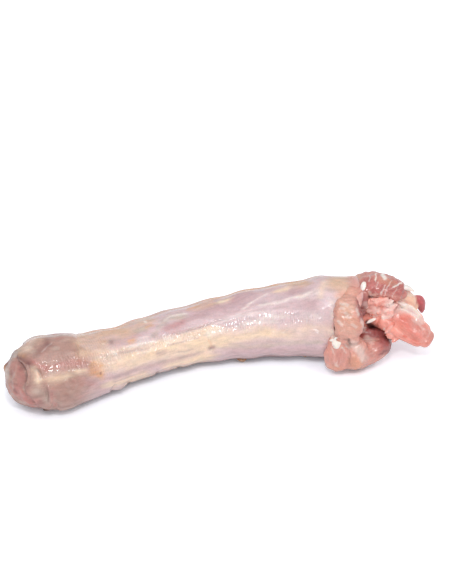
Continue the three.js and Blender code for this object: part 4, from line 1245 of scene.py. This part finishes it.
def muscle_values(flesh, seed):
    """Share of each tissue on the cut: what its lobe shows, the strokes, and painted shade in the valleys of
    the wrinkles, where lobes meet and deep inside the cut.
    """
    local = local_place(CUT_END, flesh.points)
    radial = np.linalg.norm(local[:, 1:], axis=1)
    depth = smooth(14, 7, radial) * smooth(16, 6, local[:, 0])
    shares = cut_shares(flesh, CUT_MARKS, seed)
    lean = own_share(flesh, "red") + rough(flesh.points, (0.2, 6, seed + 2))
    meeting = smooth(0.15, 0.5, 1 - flesh.weight.max(axis=0))
    shares["red"] = np.clip(np.maximum(shares["red"], lean), 0, 1)
    shares["tan"] = np.maximum(shares["tan"], own_share(flesh, "tan") * smooth(16, 4, local[:, 0]))
    # painted shade in the valleys of the wrinkles and where lobes meet
    shares["shade"] = np.maximum(0.4 * smooth(-0.3, -0.55, flesh.fold), 0.16 * meeting)
    # painted shade deep inside the cut, near the bone
    shares["inside"] = np.maximum(shares["inside"], 0.7 * depth)
    return shares


def bone_values(flesh, seed):
    """Share of each tissue on the bone and its shreds: what its lobe shows, the strokes, and patches."""
    shares = cut_shares(flesh, BONE_MARKS, seed)
    for number, tissue in enumerate(("crest", "marrow", "scrap")):
        patches = rough(flesh.points, (0.15, 5, seed + 3 + number))
        shown = np.maximum(shares.get(tissue, 0), own_share(flesh, tissue))
        shares[tissue] = np.clip(shown + patches, 0, 1)
    return shares


def plug_values(flesh, seed):
    """Share of each tissue on the plug: the sleeve's strokes, patches, and what its lobes show."""
    wander = [rough(flesh.points, (0.7, 3, seed + n)) for n in (0, 1)]
    shares = stroke_shares(flesh, SLEEVE_MARKS, WHOLE_SEEN, wander, SOFT)
    for number, (tissue, strength) in enumerate(PLUG_PATCHES.items()):
        patches = strength * smooth(0.05, 0.6, noise(flesh.points, 4, seed + 10 + number))
        shares[tissue] = np.maximum(shares[tissue], patches)
    shares["blood"] = np.maximum(shares["blood"], own_share(flesh, "blood"))
    shares["knob"] = np.ones(len(flesh.points))
    return shares


def tag_values(flesh, seed):
    """Share of each tissue on the tags: tan skin with stained and dark places."""
    return {
        "blood": 0.55 + rough(flesh.points, (0.4, 1.5, seed)),
        "shade": np.clip(0.2 + rough(flesh.points, (0.6, 1.2, seed + 1)), 0, 1),
        "skin": np.ones(len(flesh.points)),
    }


def grown_piece(name, flesh, values, material, node):
    """A piece of fused lobes, dressed."""
    piece = mesh_piece(name, flesh.points, flesh.faces.tolist(), values, flesh.grain)
    return dress(piece, material, node)


def new_material(name):
    """A material, its node tree and its Principled shader."""
    material = bpy.data.materials.new(name)
    material.use_nodes = True
    tree = material.node_tree
    return material, tree, tree.nodes["Principled BSDF"]


def add(tree, kind, inputs=(), **settings):
    """A node with its settings, and its inputs linked from sockets or set to values."""
    node = tree.nodes.new(kind)
    for key, value in settings.items():
        setattr(node, key, value)
    for key, value in dict(inputs).items():
        if isinstance(value, bpy.types.NodeSocket):
            tree.links.new(value, node.inputs[key])
        else:
            node.inputs[key].default_value = value
    return node


def math_node(tree, operation, *values, clamp=False):
    """The result of a sum on up to three sockets or numbers."""
    node = add(tree, "ShaderNodeMath", enumerate(values), operation=operation, use_clamp=clamp)
    return node.outputs[0]


def product(tree, first, second):
    """Two sockets or numbers, multiplied."""
    return math_node(tree, "MULTIPLY", first, second)


def ranged(tree, value, low, high, start, stop):
    """A value whose range from low to high is spread from start to stop."""
    ends = {"Value": value, "From Min": low, "From Max": high, "To Min": start, "To Max": stop}
    return add(tree, "ShaderNodeMapRange", ends).outputs[0]


def tint(tree, under, colour, factor):
    """The under colour, painted over with another by a factor."""
    return add(tree, "ShaderNodeMix", {0: factor, 6: under, 7: colour}, data_type="RGBA").outputs[2]


def attribute(tree, name, output="Fac"):
    """A value that the mesh holds at each point."""
    return add(tree, "ShaderNodeAttribute", attribute_name=name).outputs[output]


def object_place(tree):
    """The point's place in its object."""
    return add(tree, "ShaderNodeTexCoord").outputs["Object"]


def stretched_noise(tree, vector, kind):
    """Noise on a place of a point, drawn out along the grain."""
    stretch, scale, detail = kind
    drawn = add(tree, "ShaderNodeVectorMath", {0: vector, 1: (stretch, 1, 1)}, operation="MULTIPLY")
    settings = {"Vector": drawn.outputs[0], "Scale": scale, "Detail": detail, "Roughness": NOISE_ROUGHNESS}
    return add(tree, "ShaderNodeTexNoise", settings).outputs["Fac"]


def new_group(name, inputs, outputs):
    """An empty node group and the sockets of its two ends. An input without a value is a vector."""
    group = bpy.data.node_groups.new(name, "ShaderNodeTree")
    for key, value in inputs.items():
        kind = "NodeSocketVector" if value is None else "NodeSocketFloat"
        socket = group.interface.new_socket(key, in_out="INPUT", socket_type=kind)
        if value is not None:
            socket.default_value = value
    for key in outputs:
        group.interface.new_socket(key, in_out="OUTPUT", socket_type="NodeSocketFloat")
    return group, group.nodes.new("NodeGroupInput").outputs, group.nodes.new("NodeGroupOutput").inputs


def frayed_edge_group():
    """A soft share of a tissue, made into a patch with a frayed edge: noise along the grain is added
    where the share is neither none nor all."""
    group, given, result = new_group("Frayed Edge", {"Share": 0.0, "Fray": 0.5, "Grain": None}, ["Factor"])
    coarse = product(group, stretched_noise(group, given["Grain"], COARSE_FRAY), 0.65)
    fine = product(group, stretched_noise(group, given["Grain"], FINE_FRAY), 0.35)
    centred = math_node(group, "SUBTRACT", math_node(group, "ADD", coarse, fine), 0.5)
    offset = product(group, centred, given["Fray"])
    rest = math_node(group, "SUBTRACT", 1.0, given["Share"])
    edge = product(group, product(group, given["Share"], rest), 6.0)
    moved = math_node(group, "ADD", given["Share"], product(group, offset, edge), clamp=True)
    group.links.new(moved, result["Factor"])
    return group


def wet_flesh_group():
    """Fine relief and gloss of moist flesh: fibres along the grain, a crinkle, a grit and a hatching as
    height, patches where the film of moisture is thinner as roughness, and mottles of the colour."""
    group, given, result = new_group(
        "Wet Flesh", {"Grain": None, "Place": None, "Fibre": 0.5, "Crinkle": 0.5, "Hatch": 0.0},
        ["Height", "Dry", "Mottle"])
    grain, spot = given["Grain"], given["Place"]
    fibre = product(group, stretched_noise(group, grain, FIBRES), given["Fibre"])
    crinkle = product(group, stretched_noise(group, spot, CRINKLES), given["Crinkle"])
    gritty = math_node(group, "MULTIPLY_ADD", given["Hatch"], 0.5, 0.2)
    grit = product(group, stretched_noise(group, spot, GRAINS), gritty)
    height = math_node(group, "ADD", math_node(group, "ADD", fibre, crinkle), grit)
    along = add(group, "ShaderNodeSeparateXYZ", {"Vector": grain}).outputs["X"]
    bend = product(group, stretched_noise(group, grain, HATCH_BEND), 9.0)
    ripple = math_node(group, "SINE", math_node(group, "ADD", product(group, along, HATCH_TURNS), bend))
    hatch = product(group, product(group, ripple, 0.25), given["Hatch"])
    group.links.new(math_node(group, "ADD", height, hatch), result["Height"])
    patches = stretched_noise(group, spot, DRY_PATCHES)
    group.links.new(ranged(group, patches, 0.35, 0.7, 0.28, 0.5), result["Dry"])
    broad = product(group, stretched_noise(group, grain, BROAD_MOTTLE), 0.6)
    specks = product(group, stretched_noise(group, spot, SPECKS), 0.4)
    group.links.new(math_node(group, "ADD", broad, specks), result["Mottle"])
    return group


def group_node(tree, name, maker, inputs):
    """A node group placed in a material. The group is made the first time it is asked for."""
    group = bpy.data.node_groups.get(name) or maker()
    return add(tree, "ShaderNodeGroup", inputs, node_tree=group).outputs


def plain_colour(tree, colour):
    """A colour that is the same all over."""
    node = add(tree, "ShaderNodeRGB")
    node.outputs[0].default_value = (*colour, 1)
    return node.outputs[0]


def painted(tree, colours, base, layers, thinned=None, mask=None):
    """A base colour, painted over by each tissue in turn: the tissue's share at the point, with a frayed
    edge, says how much of its colour covers what is below. A mask may thin the share of one tissue."""
    grain = attribute(tree, "grain", "Vector")
    colour = plain_colour(tree, getattr(colours, base))
    for tissue, (paint, fray) in layers.items():
        share = attribute(tree, tissue)
        if tissue == thinned:
            share = product(tree, share, mask)
        edge = group_node(
            tree, "Frayed Edge", frayed_edge_group, {"Share": share, "Fray": fray, "Grain": grain})
        colour = tint(tree, colour, (*getattr(colours, paint), 1), edge["Factor"])
    return colour


def finish_flesh(tree, shader, colour, fibre, crinkle, bump, coat, gloss=0.09, hatch=0.0):
    """Ends a flesh material: mottled colour, wet roughness, fine bump, and light that sinks in. bump is the
    height of the relief in millimetres and gloss the roughness of the wet coat."""
    wet = group_node(tree, "Wet Flesh", wet_flesh_group, {
        "Grain": attribute(tree, "grain", "Vector"), "Place": object_place(tree),
        "Fibre": fibre, "Crinkle": crinkle, "Hatch": hatch})
    spread = ranged(tree, wet["Mottle"], 0.35, 0.65, 0.84, 1.1)
    vary = add(tree, "ShaderNodeHueSaturation", {"Color": colour, "Value": spread})
    tree.links.new(vary.outputs[0], shader.inputs["Base Color"])
    tree.links.new(wet["Dry"], shader.inputs["Roughness"])
    relief = add(tree, "ShaderNodeBump", {"Height": wet["Height"], "Strength": 1.0, "Distance": bump * MM})
    tree.links.new(relief.outputs[0], shader.inputs["Normal"])
    for key, value in {**SINK_IN, "Coat Weight": coat, "Coat Roughness": gloss}.items():
        shader.inputs[key].default_value = value


def sleeve_material(colours):
    """Fascia, fat, film and stains on the sleeve, with painted highlights and painted shade, each painted
    over the last by its own share.
    """
    material, tree, shader = new_material("Fascia and fat")
    colour = painted(tree, colours, "lilac", SLEEVE_LAYERS)
    finish_flesh(
        tree, shader, colour, fibre=0.5, crinkle=0.3, bump=0.25, coat=0.75, gloss=0.13,
        hatch=attribute(tree, "grit"))
    return material


def muscle_material(colours):
    """Cut muscle: pale or red flesh with white strands along its fibres, tan skin, pale membrane with
    painted glints, and painted shade in its creases and cavity.
    """
    material, tree, shader = new_material("Cut muscle")
    strands = stretched_noise(tree, attribute(tree, "grain", "Vector"), STRANDS)
    mask = ranged(tree, strands, 0.54, 0.68, 0, 0.7)
    colour = painted(tree, colours, "pink", MUSCLE_LAYERS, thinned="strand", mask=mask)
    finish_flesh(tree, shader, colour, fibre=0.5, crinkle=1.0, bump=0.5, coat=1.0)
    return material


def bone_material(colours):
    """Moist pink bone with white cartilage, partly a painted highlight along its ridge, a purple scrap of
    muscle, and painted shade in the cavity beside it.
    """
    material, tree, shader = new_material("Moist bone")
    colour = painted(tree, colours, "bone", BONE_LAYERS)
    finish_flesh(tree, shader, colour, fibre=0.3, crinkle=0.7, bump=0.4, coat=0.6)
    return material


def fat_material(colours):
    """White fat and tendon."""
    material, tree, shader = new_material("White fat")
    colour = plain_colour(tree, colours.fat)
    finish_flesh(tree, shader, colour, fibre=0.3, crinkle=0.4, bump=0.25, coat=0.5)
    return material


def floor_material(colours):
    """Pale matt floor with a faint grain. Its own light keeps shadows pale, except close to the neck."""
    material, tree, shader = new_material("Pale floor")
    grain = add(tree, "ShaderNodeTexNoise", {"Vector": object_place(tree), "Scale": 60.0, "Detail": 2.0})
    darker = (*(0.985 * v for v in colours.floor), 1)
    pale = tint(tree, darker, (*colours.floor, 1), grain.outputs["Fac"])
    tree.links.new(pale, shader.inputs["Base Color"])
    shader.inputs["Roughness"].default_value = 0.8
    seen = add(tree, "ShaderNodeLightPath").outputs["Is Camera Ray"]
    clear = add(tree, "ShaderNodeAmbientOcclusion", {"Distance": CONTACT_REACH}, samples=8).outputs["AO"]
    glow = product(tree, seen, product(tree, clear, FLOOR_GLOW))
    tree.links.new(glow, shader.inputs["Emission Strength"])
    shader.inputs["Emission Color"].default_value = GLOW_COLOUR
    return material


class NECK_OT_sleeve(bpy.types.Operator):
    """Build the sleeve of muscle under its fascia and fat"""

    bl_idname = "neck.sleeve"
    bl_label = "Sleeve"

    def execute(self, context):
        scene = context.scene
        rows, shares, straight = sleeve_rows(scene.neck_sizes)
        piece = closed_piece("sleeve", rows, shares, straight)
        dress(piece, sleeve_material(scene.neck_colours), "flesh")
        return {"FINISHED"}


class NECK_OT_tags(bpy.types.Operator):
    """Build the loose tags of skin under the sleeve"""

    bl_idname = "neck.tags"
    bl_label = "Tags"

    def execute(self, context):
        lump = 0.4 * context.scene.neck_sizes.muscle_lump
        flesh = fused_flesh(TABLE_EDGE, TAGS, soft=0.25, step=0.3, seed=700, lump=lump)
        material = bpy.data.objects["sleeve"].data.materials[0]
        grown_piece("skin_tags", flesh, tag_values(flesh, seed=720), material, "flesh")
        return {"FINISHED"}


class NECK_OT_knob(bpy.types.Operator):
    """Build the plug of muscle in the knob"""

    bl_idname = "neck.knob"
    bl_label = "Knob"

    def execute(self, context):
        lump = 0.9 * context.scene.neck_sizes.muscle_lump
        flesh = fused_flesh(KNOB_END, PLUG, soft=1.0, step=0.6, seed=300, lump=lump)
        material = bpy.data.objects["sleeve"].data.materials[0]
        grown_piece("knob_plug", flesh, plug_values(flesh, seed=320), material, "flesh")
        return {"FINISHED"}


class NECK_OT_lobes(bpy.types.Operator):
    """Build the lobes of cut muscle round the bone"""

    bl_idname = "neck.lobes"
    bl_label = "Cut muscle"

    def execute(self, context):
        scene = context.scene
        sizes = scene.neck_sizes
        flesh = fused_flesh(
            CUT_END, LOBES, soft=0.8, step=0.6, seed=100, lump=sizes.muscle_lump, wrinkle=sizes.wrinkle)
        material = muscle_material(scene.neck_colours)
        grown_piece("cut_muscle", flesh, muscle_values(flesh, seed=120), material, "flesh")
        return {"FINISHED"}


class NECK_OT_fat(bpy.types.Operator):
    """Build the scraps of white fat and tendon at the cut"""

    bl_idname = "neck.fat"
    bl_label = "White fat"

    def execute(self, context):
        scene = context.scene
        lump = 0.3 * scene.neck_sizes.muscle_lump
        scraps = SCRAPS + ragged(RAGGED_FAT)
        flesh = fused_flesh(CUT_END, scraps, soft=0.3, step=0.35, seed=400, lump=lump)
        grown_piece("white_fat", flesh, {}, fat_material(scene.neck_colours), "flesh")
        return {"FINISHED"}


class NECK_OT_bone(bpy.types.Operator):
    """Build the end of the neck bone"""

    bl_idname = "neck.bone"
    bl_label = "Bone"

    def execute(self, context):
        scene = context.scene
        lump = scene.neck_sizes.bone_lump
        flesh = fused_flesh(CUT_END, BONES, soft=0.7, step=0.5, seed=500, lump=lump)
        material = bone_material(scene.neck_colours)
        grown_piece("neck_bone_end", flesh, bone_values(flesh, seed=520), material, "neck_bone")
        return {"FINISHED"}


class NECK_OT_shreds(bpy.types.Operator):
    """Build the ragged shreds beside the bone"""

    bl_idname = "neck.shreds"
    bl_label = "Shreds"

    def execute(self, context):
        lump = 0.5 * context.scene.neck_sizes.bone_lump
        shreds = [bit for kind in RAGGED_BONE for bit in ragged(kind)]
        flesh = fused_flesh(CUT_END, shreds, soft=0.36, step=0.38, seed=600, lump=lump)
        material = bpy.data.objects["neck_bone_end"].data.materials[0]
        grown_piece("bone_shreds", flesh, bone_values(flesh, seed=620), material, "neck_bone")
        return {"FINISHED"}


def put_facing(thing, directions, at):
    """Puts a camera or a light at a point, with its right, its top and its back in those directions."""
    turned = np.eye(4)
    turned[:3, :3] = np.stack(directions, axis=1)
    turned[:3, 3] = at
    thing.matrix_world = Matrix(turned.tolist())
    bpy.context.scene.collection.objects.link(thing)


def add_light(name, power, size, azimuth, elevation, distance):
    """A soft light of a width and a height that looks at the middle of the neck."""
    directions = view_directions(math.radians(azimuth), math.radians(elevation))
    data = bpy.data.lights.new(name, "AREA")
    data.shape = "RECTANGLE"
    data.energy = power
    data.size, data.size_y = size
    put_facing(bpy.data.objects.new(name, data), directions, directions[2] * distance)


def add_floor(scene):
    """The floor, a large square."""
    half = FLOOR_HALF
    corners = [(-half, -half, 0), (half, -half, 0), (half, half, 0), (-half, half, 0)]
    mesh = bpy.data.meshes.new("floor")
    mesh.from_pydata(corners, [], [(0, 1, 2, 3)])
    mesh.materials.append(floor_material(scene.neck_colours))
    floor = bpy.data.objects.new("floor", mesh)
    scene.collection.objects.link(floor)


def add_world(scene):
    """White light all round."""
    world = bpy.data.worlds.new("Studio")
    world.use_nodes = True
    background = world.node_tree.nodes["Background"]
    background.inputs["Color"].default_value = (1, 1, 1, 1)
    background.inputs["Strength"].default_value = scene.neck_view.world
    scene.world = world


def add_camera(scene):
    """A long lens that looks past the middle of the neck."""
    view = scene.neck_view
    directions = view_directions(view.azimuth, view.elevation)
    right, above, back = directions
    aim = np.array(MIDDLE) * MM + right * view.right + above * view.above
    data = bpy.data.cameras.new("camera")
    data.lens = data.sensor_width * view.distance / view.height
    data.clip_end = CLIP_END
    scene.camera = bpy.data.objects.new("camera", data)
    put_facing(scene.camera, directions, aim + back * view.distance)


class NECK_OT_stage(bpy.types.Operator):
    """Build the floor, the lights and the camera"""

    bl_idname = "neck.stage"
    bl_label = "Stage"

    def execute(self, context):
        scene = context.scene
        add_floor(scene)
        add_world(scene)
        for name, setting in LIGHTS.items():
            add_light(name, getattr(scene.neck_view, name), *setting)
        add_camera(scene)
        scene.view_settings.view_transform = "Standard"
        return {"FINISHED"}


class VIEW3D_PT_neck(bpy.types.Panel):
    """Lists the neck's pieces, sizes and colours in the sidebar"""

    bl_label = "Raw Turkey Neck"
    bl_space_type = "VIEW_3D"
    bl_region_type = "UI"
    bl_category = "Neck"

    def draw(self, context):
        for operator in OPERATORS:
            self.layout.operator(operator.bl_idname)
        for name in GROUPS:
            group = getattr(context.scene, name)
            box = self.layout.box()
            for key in group.__annotations__:
                box.prop(group, key)


OPERATORS = (
    NECK_OT_sleeve, NECK_OT_tags, NECK_OT_knob, NECK_OT_lobes, NECK_OT_fat, NECK_OT_bone, NECK_OT_shreds,
    NECK_OT_stage,
)
GROUPS = {"neck_sizes": NeckSizes, "neck_colours": NeckColours, "neck_view": NeckView}
CLASSES = (*GROUPS.values(), *OPERATORS, VIEW3D_PT_neck)


def register():
    """Registers the classes, and gives the scene its groups of properties."""
    for cls in CLASSES:
        bpy.utils.register_class(cls)
    for name, cls in GROUPS.items():
        setattr(bpy.types.Scene, name, bpy.props.PointerProperty(type=cls))


def unregister():
    """Takes the properties and the classes away again."""
    for name in GROUPS:
        delattr(bpy.types.Scene, name)
    for cls in reversed(CLASSES):
        bpy.utils.unregister_class(cls)


def main():
    """Registers the classes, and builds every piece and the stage."""
    register()
    bpy.ops.neck.sleeve()
    bpy.ops.neck.tags()
    bpy.ops.neck.knob()
    bpy.ops.neck.lobes()
    bpy.ops.neck.fat()
    bpy.ops.neck.bone()
    bpy.ops.neck.shreds()
    bpy.ops.neck.stage()


if __name__ == "__main__":
    main()
